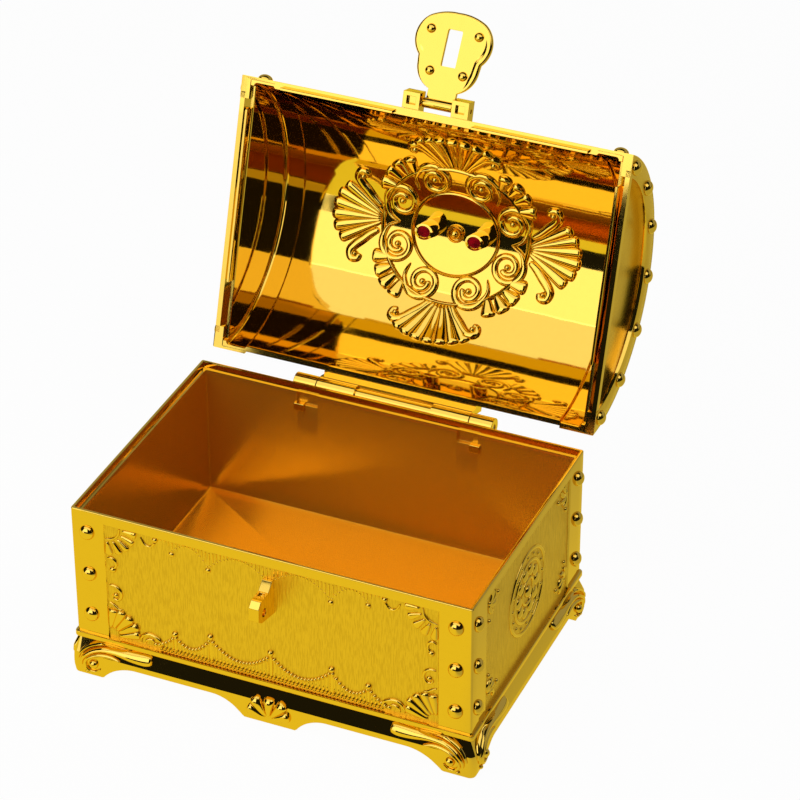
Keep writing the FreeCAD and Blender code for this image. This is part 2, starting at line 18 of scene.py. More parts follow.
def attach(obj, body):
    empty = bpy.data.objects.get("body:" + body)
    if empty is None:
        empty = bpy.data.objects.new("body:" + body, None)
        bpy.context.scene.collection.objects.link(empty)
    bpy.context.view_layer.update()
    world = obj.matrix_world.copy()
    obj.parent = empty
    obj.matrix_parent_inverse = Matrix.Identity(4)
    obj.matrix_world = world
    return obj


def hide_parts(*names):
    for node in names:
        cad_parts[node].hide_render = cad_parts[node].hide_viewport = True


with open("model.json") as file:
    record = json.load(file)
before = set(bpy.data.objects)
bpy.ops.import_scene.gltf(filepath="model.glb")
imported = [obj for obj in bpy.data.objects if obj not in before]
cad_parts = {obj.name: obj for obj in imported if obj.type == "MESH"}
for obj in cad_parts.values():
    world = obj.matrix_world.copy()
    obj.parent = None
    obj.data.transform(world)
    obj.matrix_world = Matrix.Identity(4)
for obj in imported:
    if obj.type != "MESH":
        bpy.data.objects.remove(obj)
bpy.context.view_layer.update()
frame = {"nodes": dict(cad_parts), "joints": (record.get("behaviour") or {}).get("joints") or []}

bl_info = {
    "name": "Treasure chest",
    "version": (1, 0, 0),
    "blender": (4, 5, 0),
    "location": "View3D > Sidebar > Chest",
    "description": "Gold plated treasure chest with a hinged lid, a hasp and moulded ornament",
    "category": "Add Mesh",
}

JOINTS = {joint["name"]: joint for joint in frame["joints"]}
# Millimetres in a metre
MM = 1000


def length(name, description, default):
    """Length property in metres."""
    return FloatProperty(name=name, description=description, default=default, unit="LENGTH")


def share(name, description, default):
    """Property between nothing and all."""
    return FloatProperty(name=name, description=description, default=default, min=0.0, max=1.0,
                         subtype="FACTOR")


def colour(name, description, default):
    """Linear colour property."""
    return FloatVectorProperty(name=name, description=description, default=default, size=3, min=0.0, max=1.0,
                               subtype="COLOR")


def brightness(name, description, default):
    """Radiance property, where 1 shows as white."""
    return FloatProperty(name=name, description=description, default=default, min=0.0)


class ChestSizes(bpy.types.PropertyGroup):
    """Sizes of the moulded chest"""
    box_width: length("Box width", "Width of the tub", 0.150)
    box_depth: length("Box depth", "Depth of the tub", 0.103)
    rim_height: length("Rim height", "Height of the tub's rim above the floor", 0.070)
    plinth_height: length("Plinth height", "Height of the lip that carries the tub", 0.0175)
    strap_front: length("Front strap", "Width of the corner straps on the front", 0.0124)
    strap_side: length("Side strap", "Width of the corner straps on the sides", 0.0125)
    panel_recess: length("Panel recess", "How far the panels lie behind the straps", 0.0006)
    stud_radius: length("Stud radius", "Foot radius of the domed studs", 0.0028)
    stud_height: length("Stud height", "Height of the domed studs", 0.0021)
    lid_rise: length("Lid rise", "Height of the barrel above the rim", 0.042)
    lid_wall: length("Lid wall", "Wall of the barrel", 0.002)
    strap_step: length("Strap step", "How far the lid's straps stand out of the barrel", 0.0008)
    lid_strap: length("Lid strap", "Width of the straps at the ends of the lid", 0.013)
    hinge_setback: length("Hinge setback", "Distance of the hinge axis behind the tub", 0.0045)
    hasp_length: length("Hasp length", "Length of the hasp below its pin", 0.0335)
    hasp_half_width: length("Hasp half width", "Half width of the hasp's upper lobes", 0.0146)


class ChestFinish(bpy.types.PropertyGroup):
    """Colours and finishes of the chest"""
    gold: colour("Gold", "Plated gold", (0.85, 0.56, 0.09))
    gold_edge: colour("Edge gold", "Gold seen at a grazing angle", (1.0, 0.9, 0.6))
    gold_deep: colour("Deep gold", "Gold in the grooves of the brushed panels", (0.64, 0.40, 0.055))
    # The browner gold inside the tub is painted shade
    gold_inside_painted_shade: colour("Inside gold", "Browner gold inside the tub", (0.85, 0.44, 0.03))
    stone: colour("Stone", "Red stone on the lid", (0.45, 0.004, 0.012))
    steel: colour("Steel", "Pins and screws", (0.55, 0.53, 0.50))
    steel_line: colour("Steel lines", "Fine drawn lines in the steel", (0.32, 0.31, 0.30))
    gloss: share("Gloss roughness", "Roughness of the polished gold", 0.05)
    brushed: share("Brushed roughness", "Roughness of the brushed panels", 0.34)


class ChestStage(bpy.types.PropertyGroup):
    """Studio round the chest"""
    floor: colour("Floor", "Pale table top", (0.90, 0.90, 0.90))
    # Bounce and shade are painted reflection tones: the gold sees the table glow warm, and darker at its
    # right end as a painted shadow of the chest
    bounce: colour("Bounce", "Table as the gold reflects it", (0.93, 0.85, 0.11))
    shade: colour("Shade", "Right end of the table as the gold reflects it", (0.52, 0.50, 0.22))
    table_front: length("Table front", "Distance of the table's front edge", 0.78)
    softbox: brightness("Softbox", "Radiance of the front softbox", 1.65)
    ceiling: brightness("Ceiling", "Radiance of the overhead panel", 1.2)
    card: brightness("Card", "Radiance of the low card on the left", 1.25)
    backdrop: brightness("Backdrop", "Radiance of the backdrop behind", 0.36)


class Measures:
    """The sizes in millimetres, with the places that follow from them."""
    lid_gap = 0.3
    hinge_drop = 3.0
    hasp_pin_out, hasp_pin_up = 2.6, 3.4
    hasp_back = 1.5

    def __init__(self, sizes):
        for name in ChestSizes.__annotations__:
            setattr(self, name, getattr(sizes, name) * MM)
        self.half_width = self.box_width / 2
        self.half_depth = self.box_depth / 2
        self.panel_half = self.half_width - self.strap_front
        self.side_half = self.half_depth - self.strap_side
        self.lid_radius = (self.half_depth ** 2 + self.lid_rise ** 2) / (2 * self.lid_rise)
        self.lid_centre = self.rim_height + self.lid_rise - self.lid_radius
        self.lid_rim = self.rim_height + self.lid_gap
        self.vault = self.lid_radius - self.strap_step
        self.inner = self.vault - self.lid_wall
        self.strap_inner = self.half_width - self.lid_strap
        self.hinge = (self.half_depth + self.hinge_setback, self.rim_height - self.hinge_drop)
        self.hasp_pin = (-self.half_depth - self.hasp_pin_out, self.rim_height + self.hasp_pin_up)
        self.hasp_plate = self.hasp_pin[0] - self.hasp_back
        self.shift = self.hinge[0] - JOINTS["lid_hinge"]["pos_m"][1] * MM
        self.lid_turn = -JOINTS["lid_hinge"]["range_deg"][1]
        self.hasp_turn = -JOINTS["hasp_hinge"]["range_deg"][1]

    def on_base(self, points):
        """Metres in the shared frame: the tub's footprint moved back by the shift."""
        return (points - np.array((0, self.shift, 0))) / MM

    def on_lid(self, points):
        """As on_base, after a turn about the hinge axis to the open stop."""
        return self.on_base(turn_x(points, self.hinge, self.lid_turn))

    def on_hasp(self, points):
        """As on_lid, after a turn about the hasp's pin."""
        return self.on_lid(turn_x(points, self.hasp_pin, self.hasp_turn))


def turn_x(points, axis, degrees):
    """Turn about a line along X: the offsets from the axis in Y and Z are mixed by cosine and sine."""
    c, s = math.cos(math.radians(degrees)), math.sin(math.radians(degrees))
    y, z = points[..., 1] - axis[0], points[..., 2] - axis[1]
    return np.stack((points[..., 0], axis[0] + y * c - z * s, axis[1] + y * s + z * c), -1)


def smooth(value, low, high):
    """Smooth step from 0 at low to 1 at high: three t squared less two t cubed."""
    t = np.clip((value - low) / (high - low), 0, 1)
    return t * t * (3 - 2 * t)


def gate(value, low, high, soft):
    """1 between low and high, 0 outside, with smooth steps of the given width."""
    half = soft / 2
    return smooth(value, low - half, low + half) * (1 - smooth(value, high - half, high + half))


def curve(rows, count):
    """Smooth line through rows: Catmull-Rom cubics in each span, with samples closer together at the ends."""
    rows = np.asarray(rows, float)
    spans = rows.shape[-2] - 1
    padded = np.concatenate((2 * rows[..., :1, :] - rows[..., 1:2, :], rows,
                             2 * rows[..., -1:, :] - rows[..., -2:-1, :]), -2)
    even = np.linspace(0, 1, count)
    t = spans * (0.35 * even + 0.65 * (0.5 - 0.5 * np.cos(np.pi * even)))
    i = np.minimum(t.astype(int), spans - 1)
    u = (t - i)[:, None]
    a, b, c, d = (padded[..., i + k, :] for k in range(4))
    return 0.5 * (2 * b + (c - a) * u + (2 * a - 5 * b + 4 * c - d) * u ** 2
                  + (3 * b - a - 3 * c + d) * u ** 3)


def strand(rows, along=22, across=7, sunk=0.4, blunt=6.0):
    """Rounded strand on a face, from rows of place, place, half width and height.

    The cap is half an ellipse carried along the smooth line, closed below the face, with both ends rounded
    off to a point under the face, over a shorter stretch the blunter they are."""
    line = curve(rows, along)
    flow = np.gradient(line[..., :2], axis=-2)
    flow /= np.linalg.norm(flow, axis=-1, keepdims=True) + 1e-9
    end = np.clip(np.abs(np.linspace(-1, 1, along)) * blunt - blunt + 1, 0, 1)
    end = np.sqrt(1 - end ** 2)
    width = np.maximum(line[..., 2], 0.02) * end
    height = line[..., 3] * end
    turn = np.linspace(0, np.pi, across)
    off = np.concatenate((np.cos(turn), (-1, 1)))
    lift = np.concatenate((np.sin(turn), (0, 0)))
    under = (np.arange(across + 2) >= across) | (end <= 0)[:, None]
    side = np.stack((-flow[..., 1], flow[..., 0]), -1) * width[..., None]
    flat = line[..., None, :2] + side[..., None, :] * off[:, None]
    up = np.where(under, -sunk, height[..., None] * lift)
    return np.concatenate((flat, up[..., None]), -1)


def dome(spots, radius, height, rings=6, turns=16, sunk=0.3):
    """Round cap on each spot: cosine of the lift out, sine of the lift up, closed below the face."""
    lift = np.linspace(0, np.pi / 2, rings)
    out = np.concatenate(((0, radius), radius * np.cos(lift)))
    up = np.concatenate(((-sunk, -sunk), height * np.sin(lift)))
    return lathe(spots, out, up, turns)


def lathe(spots, out, up, turns):
    """Profile of out and up turned about each spot's normal."""
    spots = np.asarray(spots, float).reshape(-1, 1, 1, 2)
    angle = np.linspace(0, 2 * np.pi, turns, endpoint=False)
    ring = np.stack((np.cos(angle), np.sin(angle)), -1)
    flat = spots + np.asarray(out)[:, None, None] * ring
    up = np.broadcast_to(np.asarray(up)[:, None, None], flat.shape[:-1] + (1,))
    return np.concatenate((flat, up), -1)


def arc_tips(centre, radius, degrees):
    """Points on an arc."""
    angle = np.radians(degrees)
    return np.stack((centre[0] + radius * np.cos(angle), centre[1] + radius * np.sin(angle)), -1)


def spun(rows, angle, spot, flip):
    """Rows of a strand mirrored if flip is -1, turned by an angle, then moved to a spot."""
    rows = np.array(rows, float)
    c, s = math.cos(angle), math.sin(angle)
    a, b = rows[..., 0], rows[..., 1] * flip
    rows[..., 0], rows[..., 1] = spot[0] + a * c - b * s, spot[1] + a * s + b * c
    return rows


def mirrored(rows, a, b=1):
    """Rows of a strand mirrored in one or both directions of the face."""
    return np.asarray(rows, float) * np.array((a, b, 1, 1))


def rows_through(places, half, rise):
    """Rows of many like strands, from the places along and up of each step."""
    return np.stack([np.stack(np.broadcast_arrays(along, up, half, rise), -1) for along, up in places], 1)


class Skin:
    """Gathers grids of points into one mesh of closed shells."""

    def __init__(self):
        self.points, self.quads, self.grain, self.count = [], [], [], 0

    def add(self, grid, wrap=(False, True), grain=0.0):
        """Quads between neighbours of each grid, joined round where wrap says so."""
        grid = np.asarray(grid, float)
        n, m = grid.shape[-3:-1]
        stack = grid.reshape(-1, n, m, 3)
        row = np.arange(n if wrap[0] else n - 1)[:, None]
        column = np.arange(m if wrap[1] else m - 1)
        next_row, next_column = (row + 1) % n, (column + 1) % m
        quad = np.stack((row * m + column, next_row * m + column,
                         next_row * m + next_column, row * m + next_column), -1).reshape(-1, 4)
        first = self.count + np.arange(len(stack)) * n * m
        self.quads.append((quad + first[:, None, None]).reshape(-1, 4))
        self.points.append(stack.reshape(-1, 3))
        self.grain.append(np.broadcast_to(grain, grid.shape[:-1]).ravel())
        self.count += stack.size // 3

    def piece(self, name, body, place, material, stands_for=(), sharp=40):
        """Gold object of the shells: doubles merged, faces outward, smooth but for sharp edges."""
        mesh = bpy.data.meshes.new(name)
        mesh.from_pydata(place(np.concatenate(self.points)), [], np.concatenate(self.quads))
        grain = mesh.attributes.new("grain", "FLOAT", "POINT")
        grain.data.foreach_set("value", np.concatenate(self.grain).astype(np.float32))
        shell = bmesh.new()
        shell.from_mesh(mesh)
        bmesh.ops.remove_doubles(shell, verts=shell.verts, dist=1e-6)
        bmesh.ops.dissolve_degenerate(shell, edges=shell.edges, dist=1e-7)
        bmesh.ops.recalc_face_normals(shell, faces=shell.faces)
        shell.to_mesh(mesh)
        shell.free()
        show(mesh, name, body, material, stands_for, sharp)


class Relief:
    """Ornament laid on one face of a skin."""

    def __init__(self, skin, face):
        self.skin, self.face = skin, face

    def add(self, grid, wrap=(False, True)):
        """Grid of places along, up and out of the face."""
        self.skin.add(self.face(grid), wrap)

    def strands(self, tables, **shape):
        """A strand for each table of rows."""
        for rows in tables:
            self.add(strand(rows, **shape))

    def domes(self, spots, radius, height, **shape):
        """Round caps of one size."""
        self.add(dome(spots, radius, height, **shape))

    def hoop(self, centre, radii, half, height, turns=96, across=7, sunk=0.4):
        """Closed rounded strand along an ellipse: half an ellipse carried round it, closed below the face."""
        angle = np.linspace(0, 2 * np.pi, turns, endpoint=False)[:, None]
        turn = np.linspace(0, np.pi, across)
        off = np.concatenate((np.cos(turn), (-1, 1))) * half
        up = np.concatenate((height * np.sin(turn), (-sunk, -sunk)))
        a = centre[0] + (radii[0] + off) * np.cos(angle)
        b = centre[1] + (radii[1] + off) * np.sin(angle)
        self.add(np.stack((a, b, np.broadcast_to(up, a.shape)), -1), wrap=(True, True))

    def fan(self, root, tips, half, rise, start=0.15, along=22, blunt=3.0):
        """Petals of a fan: each runs from near the root to its tip, widening to a rounded end."""
        root, tips = np.asarray(root, float), np.asarray(tips, float)
        shares = start + (1 - start) * np.array((0, 0.35, 0.72, 1.0))
        place = root + (tips[:, None, :] - root) * shares[:, None]
        size = np.array(((0.32, 0.6), (0.64, 0.8), (0.92, 0.95), (1.0, 1.0))) * (half, rise)
        rows = np.concatenate((place, np.broadcast_to(size, place.shape)), -1)
        self.strands([rows], along=along, across=9, blunt=blunt)


def show(mesh, name, body, material, stands_for, sharp):
    """Object of a mesh that rides on a body and may stand for nodes."""
    mesh.shade_smooth()
    mesh.set_sharp_from_angle(angle=math.radians(sharp))
    piece = bpy.data.objects.new(name, mesh)
    bpy.context.scene.collection.objects.link(piece)
    mesh.materials.clear()
    mesh.materials.append(material)
    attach(piece, body)
    if stands_for:
        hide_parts(*stands_for)
    return piece


def eased(node, body, ease, material, sharp=35):
    """Copy of a small node with merged doubles, joined flat faces and slightly rounded edges."""
    mesh = bpy.data.meshes.new(node + "_skin")
    shell = bmesh.new()
    shell.from_mesh(frame["nodes"][node].data)
    bmesh.ops.remove_doubles(shell, verts=shell.verts, dist=1e-6)
    bmesh.ops.dissolve_limit(shell, angle_limit=math.radians(0.5), verts=shell.verts, edges=shell.edges)
    shell.to_mesh(mesh)
    shell.free()
    for name in ("custom_normal", "sharp_edge", "sharp_face"):
        if name in mesh.attributes:
            mesh.attributes.remove(mesh.attributes[name])
    piece = show(mesh, node + "_skin", body, material, (node,), sharp)
    bevel = piece.modifiers.new("Eased edges", "BEVEL")
    bevel.width = ease / MM
    bevel.segments = 2
    bevel.limit_method = "ANGLE"
    bevel.angle_limit = math.radians(sharp)
    bevel.harden_normals = True


class Wire:
    """A shader socket whose sums, differences and products add Math nodes."""

    def __init__(self, graph, socket):
        self.graph, self.socket = graph, socket

    def math(self, operation, *values):
        """Math node of two values."""
        return self.graph.node("ShaderNodeMath", {"operation": operation}, dict(enumerate(values)))

    def __add__(self, other):
        return self.math("ADD", self, other)

    def __sub__(self, other):
        return self.math("SUBTRACT", self, other)

    def __rsub__(self, other):
        return self.math("SUBTRACT", other, self)

    def __mul__(self, other):
        return self.math("MULTIPLY", self, other)

    __radd__, __rmul__ = __add__, __mul__

    def most(self, other):
        """The larger of this socket and another value."""
        return self.math("MAXIMUM", self, other)

    def step(self, low, high):
        """Smooth step of this socket from 0 at low to 1 at high."""
        return self.graph.node("ShaderNodeMapRange", {"interpolation_type": "SMOOTHSTEP"},
                               {"Value": self, "From Min": low, "From Max": high})


class Graph:
    """Node tree of a material or world."""

    def __init__(self, owner):
        owner.use_nodes = True
        self.tree = owner.node_tree
        self.tree.nodes.clear()

    def node(self, kind, settings=None, inputs=None, output=0):
        """Add a node of a kind, set it, feed its inputs with values or wires and give one output."""
        node = self.tree.nodes.new(kind)
        for name, value in (settings or {}).items():
            setattr(node, name, value)
        for name, value in (inputs or {}).items():
            if isinstance(value, Wire):
                self.tree.links.new(value.socket, node.inputs[name])
            else:
                node.inputs[name].default_value = value
        return Wire(self, node.outputs[output]) if node.outputs else None

    def axis(self, vector, index):
        """X, Y or Z of a vector."""
        return self.node("ShaderNodeSeparateXYZ", {}, {0: vector}, output=index)

    def noise(self, place, stretch, detail=2.0):
        """Noise on coordinates stretched by three factors."""
        mapped = self.node("ShaderNodeMapping", {}, {"Vector": place, "Scale": stretch})
        return self.node("ShaderNodeTexNoise", {}, {"Vector": mapped, "Scale": 1.0, "Detail": detail})

    def blend(self, amount, first, second):
        """Mix of two colours."""
        return self.node("ShaderNodeMix", {"data_type": "RGBA"}, {0: amount, 6: first, 7: second}, output=2)


def rgba(value):
    """Colour with full cover."""
    return (*value, 1.0)


def finished(name, shader_inputs):
    """Material of a name, made once: a function gives the shader's inputs from the Object coordinates."""
    material = bpy.data.materials.get(name)
    if material is None:
        material = bpy.data.materials.new(name)
        graph = Graph(material)
        inputs = shader_inputs(graph, graph.node("ShaderNodeTexCoord", output="Object"))
        shader = graph.node("ShaderNodeBsdfPrincipled", {}, inputs)
        graph.node("ShaderNodeOutputMaterial", {}, {"Surface": shader})
    return material


def gold_material(finish, name, stretch):
    """Plated gold: polished with a faint waviness; where the grain attribute is set it is brushed in fine
    streaks, which are noise stretched along one direction, and where it is below zero, inside the tub, it is
    rougher, less metallic and painted browner, as painted shade."""
    def inputs(graph, place):
        grain = graph.node("ShaderNodeAttribute", {"attribute_name": "grain"}, output="Fac")
        # Grain below zero marks the tub's inside: a rougher satin finish, and a browner colour that is
        # painted shade
        inside = (0 - grain).most(0)
        grain = grain.most(0)
        streak = graph.noise(place, stretch, detail=3.0)
        cloud = graph.noise(place, (60, 60, 60))
        mottle = graph.noise(place, (420, 420, 420), detail=3.0)
        groove = streak.step(0.42, 0.62)
        base = graph.blend(grain * groove * 0.60, rgba(finish.gold), rgba(finish.gold_deep))
        base = graph.blend(mottle.step(0.35, 0.8) * 0.06, base, rgba(finish.gold_deep))
        base = graph.blend(inside, base, rgba(finish.gold_inside_painted_shade))
        rough = finish.gloss + grain * (finish.brushed - finish.gloss) + inside * 0.15
        rough = rough + mottle.step(0.45, 0.8) * 0.02
        wave = graph.node("ShaderNodeBump", {}, {"Strength": 0.08, "Distance": 0.0008, "Height": cloud})
        bump = graph.node("ShaderNodeBump", {}, {"Strength": 0.8, "Distance": 0.00016,
                                                 "Height": streak * grain, "Normal": wave})
        return {"Base Color": base, "Metallic": 1 - inside * 0.25, "Roughness": rough, "Normal": bump,
                "Specular Tint": rgba(finish.gold_edge), "Coat Weight": 0.05, "Coat Roughness": 0.04}

    return finished(name, inputs)


def stone_material(finish):
    """Red stone: clear deep red with faint cloudy inclusions under a polished face."""
    def inputs(graph, place):
        cloud = graph.noise(place, (300, 300, 300), detail=3.0)
        dark = tuple(0.35 * c for c in finish.stone)
        base = graph.blend(cloud.step(0.35, 0.7), rgba(finish.stone), rgba(dark))
        return {"Base Color": base, "Roughness": 0.06 + cloud * 0.04, "Coat Weight": 0.7}

    return finished("red_stone_polish", inputs)


def steel_material(finish):
    """Bright steel of pins and screws, drawn along X with fine lines."""
    def inputs(graph, place):
        line = graph.noise(place, (60, 4000, 4000))
        base = graph.blend(line.step(0.4, 0.7) * 0.3, rgba(finish.steel), rgba(finish.steel_line))
        return {"Base Color": base, "Metallic": 1.0, "Roughness": 0.22 + line * 0.12}

    return finished("bright_steel", inputs)


def base_gold(context):
    """Gold whose grain stands upright on the walls."""
    return gold_material(context.scene.chest_finish, "gold_plate_base", (2600, 2600, 240))


def lid_gold(context):
    """Gold whose grain runs round the barrel."""
    return gold_material(context.scene.chest_finish, "gold_plate_lid", (2200, 70, 70))


def rectangle_loop(along_x, along_y, corner=6):
    """Loop round a rectangle: the share of the corner's place and the outward normal of each point."""
    turn = np.linspace(0, np.pi / 2, corner)[1:-1]
    c, s, one = np.cos(turn), np.sin(turn), np.ones(len(turn))

    def edge(x, y, nx, ny):
        count = max(np.size(x), np.size(y))
        return np.stack([np.broadcast_to(np.asarray(v, float), count) for v in (x, y, nx, ny)], -1)

    return np.concatenate((
        edge(along_x, -1, 0, -1), edge(one, -1, s, -c), edge(1, along_y, 1, 0), edge(one, 1, c, s),
        edge(-along_x, 1, 0, 1), edge(-one, 1, -s, c), edge(-1, -along_y, -1, 0), edge(-one, -1, -c, -s)))


def walls(loop, rows, inset):
    """Section rows of half width, half depth, corner radius and height carried round a loop.

    A point is the corner's share times the straight half, plus the normal times the radius less the inset."""
    half, radius, height = rows[:, None, :2], rows[:, None, 2:3], rows[:, None, 3:4]
    flat = loop[:, :2] * (half - radius) + loop[:, 2:] * (radius - inset[..., None])
    return np.concatenate((flat, np.broadcast_to(height, flat.shape[:-1] + (1,))), -1)


def spread(half, count, *edges):
    """Even shares from -1 to 1 with closer samples about each edge, given in millimetres of a half length."""
    near = np.array((-0.6, -0.32, -0.2, -0.1, 0.0, 0.1, 0.2, 0.32, 0.6))
    extra = [sign * edge + near for edge in edges for sign in (-1, 1)]
    return np.unique(np.clip(np.concatenate((np.linspace(-half, half, count), *extra)), -half, half)) / half


# Tub: faces of the floor, wall below the ledge, corner rounds and edges of the sunk panels
FLOOR_TOP, FLOOR_UNDER = 15.5, 13.5
WALL, OUTER_ROUND, INNER_ROUND = 2.6, 0.8, 0.5
PANEL_DROP, REAR_PANEL_TOP, PANEL_BELOW, PANEL_EDGE = 4.0, 55.4, 9.0, 0.4
# Hinge notches: stretch along the wall, depth, soft edge, and top and foot below the rim
NOTCH_FROM, NOTCH_TO, NOTCH_DEPTH, NOTCH_EDGE, NOTCH_TOP, NOTCH_FOOT = 27.5, 35.5, 1.4, 0.3, 2.6, 7.5
# Rim from the outside to the inside: inset, corner round and depth below its top
RIM = ((.06, .75, .15), (.2, .6, .03), (.4, .5, 0), (.9, .3, 0), (1.1, .3, .06), (1.2, .3, .3),
       (1.2, .3, 2.2), (1.26, .3, 2.42), (1.5, .3, 2.5), (2.3, .4, 2.5), (2.52, .5, 2.58))


def tub_skin(m, skin):
    """Tub: a section from under the floor, up the wall, over the rim and down inside, carried round the box.

    The panels are an inset between the straps, and the ledge inside the rim has two notches at the rear."""
    w, d, z, foot = m.half_width, m.half_depth, m.rim_height, m.plinth_height
    straight, straight_side = w - OUTER_ROUND, d - OUTER_ROUND
    stretch = straight / (w - WALL - INNER_ROUND)
    loop = rectangle_loop(spread(straight, 41, m.panel_half, NOTCH_FROM * stretch, NOTCH_TO * stretch),
                          spread(straight_side, 29, m.side_half))
    below = [(1.2, 0.3, FLOOR_UNDER), (1.2, 0.3, foot)]
    outside = [(0, OUTER_ROUND, up) for up in (
        foot, foot + 6, 30, 43, *(REAR_PANEL_TOP + np.linspace(-0.5, 0.5, 6)), 62,
        *(z - PANEL_DROP + np.linspace(-0.4, 0.4, 5)), z - 1.5, z - 0.4)]
    rim = [(inset, corner, z - drop) for inset, corner, drop in RIM]
    inside = [(WALL, INNER_ROUND, up) for up in (
        z - 2.8, z - 5, z - 7.2, z - 7.4, z - 7.6, z - 7.8, 50, 35, 22, FLOOR_TOP + 1.2)]
    cove = [(2.95, INNER_ROUND, FLOOR_TOP + 0.35), (3.8, INNER_ROUND, FLOOR_TOP)]
    sections = below + outside + rim + inside + cove
    rings = [(w - inset, d - inset, corner, up) for inset, corner, up in sections]
    rows = np.array([(0, 0, 0, FLOOR_UNDER), *rings, (0, 0, 0, FLOOR_TOP)], float)
    order, up = np.arange(len(rows))[:, None], rows[:, 3:4]
    outer = 1 + len(below)
    inner = outer + len(outside) + len(rim)
    x, y = loop[:, 0] * straight, loop[:, 1] * straight_side
    front, rear, side = loop[:, 3] < -0.99, loop[:, 3] > 0.99, np.abs(loop[:, 2]) > 0.99
    across = gate(x, -m.panel_half, m.panel_half, PANEL_EDGE)
    tall = gate(up, foot - PANEL_BELOW, z - PANEL_DROP, PANEL_EDGE)
    panel = (front * across * tall + rear * across * gate(up, foot - PANEL_BELOW, REAR_PANEL_TOP, PANEL_EDGE)
             + side * gate(y, -m.side_half, m.side_half, PANEL_EDGE) * tall)
    panel = panel * ((order >= outer) & (order < outer + len(outside)))
    notch = rear * gate(np.abs(x) / stretch, NOTCH_FROM, NOTCH_TO, NOTCH_EDGE)
    notch = notch * gate(up, z - NOTCH_FOOT, z - NOTCH_TOP, NOTCH_EDGE)
    notch = notch * ((order >= inner - 2) & (order < inner + 8))
    # Rows inside the tub get grain below zero, which paints them in the browner gold of painted shade
    inside_painted_shade = smooth(order, inner - 2, inner + 1)
    skin.add(walls(loop, rows, panel * m.panel_recess - notch * NOTCH_DEPTH), grain=panel - inside_painted_shade)


def studs_on(m, spots, out, radius=None, height=None):
    """Domed studs on spots, with their foot on the plane across the out direction."""
    out = np.asarray(out, float)
    helper = np.array((1.0, 0, 0)) if abs(out[0]) < 0.9 else np.array((0, 1.0, 0))
    a = np.cross(helper, out)
    a /= np.linalg.norm(a)
    b = np.cross(out, a)
    cap = dome([(0, 0)], radius or m.stud_radius, height or m.stud_height, rings=9, turns=28)[0]
    local = cap[..., :1] * a + cap[..., 1:2] * b + cap[..., 2:] * out
    return np.asarray(spots, float)[:, None, None, :] + local


# Studs of the tub: depth of the first below the rim, pitch, and distance from the corners
STUD_DROP, STUD_PITCH, STUD_INSET, STUD_SIDE_INSET = 9.0, 17.5, 6.0, 5.1


def tub_studs(m, skin):
    """Three studs on each strap of the four walls."""
    heights = m.rim_height - STUD_DROP - STUD_PITCH * np.arange(3)
    for sign in (-1, 1):
        for facing in (-1, 1):
            front = [(sign * (m.half_width - STUD_INSET), facing * m.half_depth, h) for h in heights]
            end = [(facing * m.half_width, sign * (m.half_depth - STUD_SIDE_INSET), h) for h in heights]
            skin.add(studs_on(m, front, (0, facing, 0)))
            skin.add(studs_on(m, end, (facing, 0, 0)))


# Plinth: reach of its face out of the tub at heights, corner round, inner face, foot of the slope
PLINTH_UP = np.array((17.5, 15.3, 14.7, 9.0, 8.1, 7.2, 6.3, 5.5, 3.0, 0.0))
PLINTH_OUT = np.array((1.0, 1.0, -0.6, 1.95, 2.03, 2.1, 2.17, 2.2, 2.2, 1.7))
PLINTH_ROUND, PLINTH_INNER, SLOPE_FOOT = 0.5, -1.1, 9.0
# Arches of the skirt: their rise, then start and shoulder run of the foot and, at the front, of the apron
ARCH_RISE, FRONT_ARCH, SIDE_ARCH = 7.0, (65.0, 13.4, 10.0, 12.0), (44.0, 9.0)
# Corner plates inside: distance from the corner, half size, heights and eased edge
GUSSET_INSET, GUSSET_HALF, GUSSET_UP, GUSSET_EASE = 6.6, 6.4, (4.6, 7.0), 0.3


def plinth_reach(up):
    """How far the plinth's face stands out of the tub at a height."""
    return np.interp(-up, -PLINTH_UP, PLINTH_OUT)


def shoulder(distance, run):
    """Height of a round shoulder: an arc that falls by the arch's rise over its run."""
    radius = (run ** 2 + ARCH_RISE ** 2) / (2 * ARCH_RISE)
    reach = np.clip(distance, 0, run)
    return ARCH_RISE - (radius - np.sqrt(np.maximum(radius ** 2 - reach ** 2, 0)))


def arch_height(along, foot, run, apron=None, apron_run=None):
    """Height of the skirt's lower edge: level, with a round shoulder down to the foot and to the apron."""
    along = np.abs(along)
    edge = np.where(along > foot, 0.0, shoulder(along - (foot - run), run))
    if apron is not None:
        edge = np.minimum(edge, np.where(along < apron, 0.0, shoulder(apron + apron_run - along, apron_run)))
    return edge


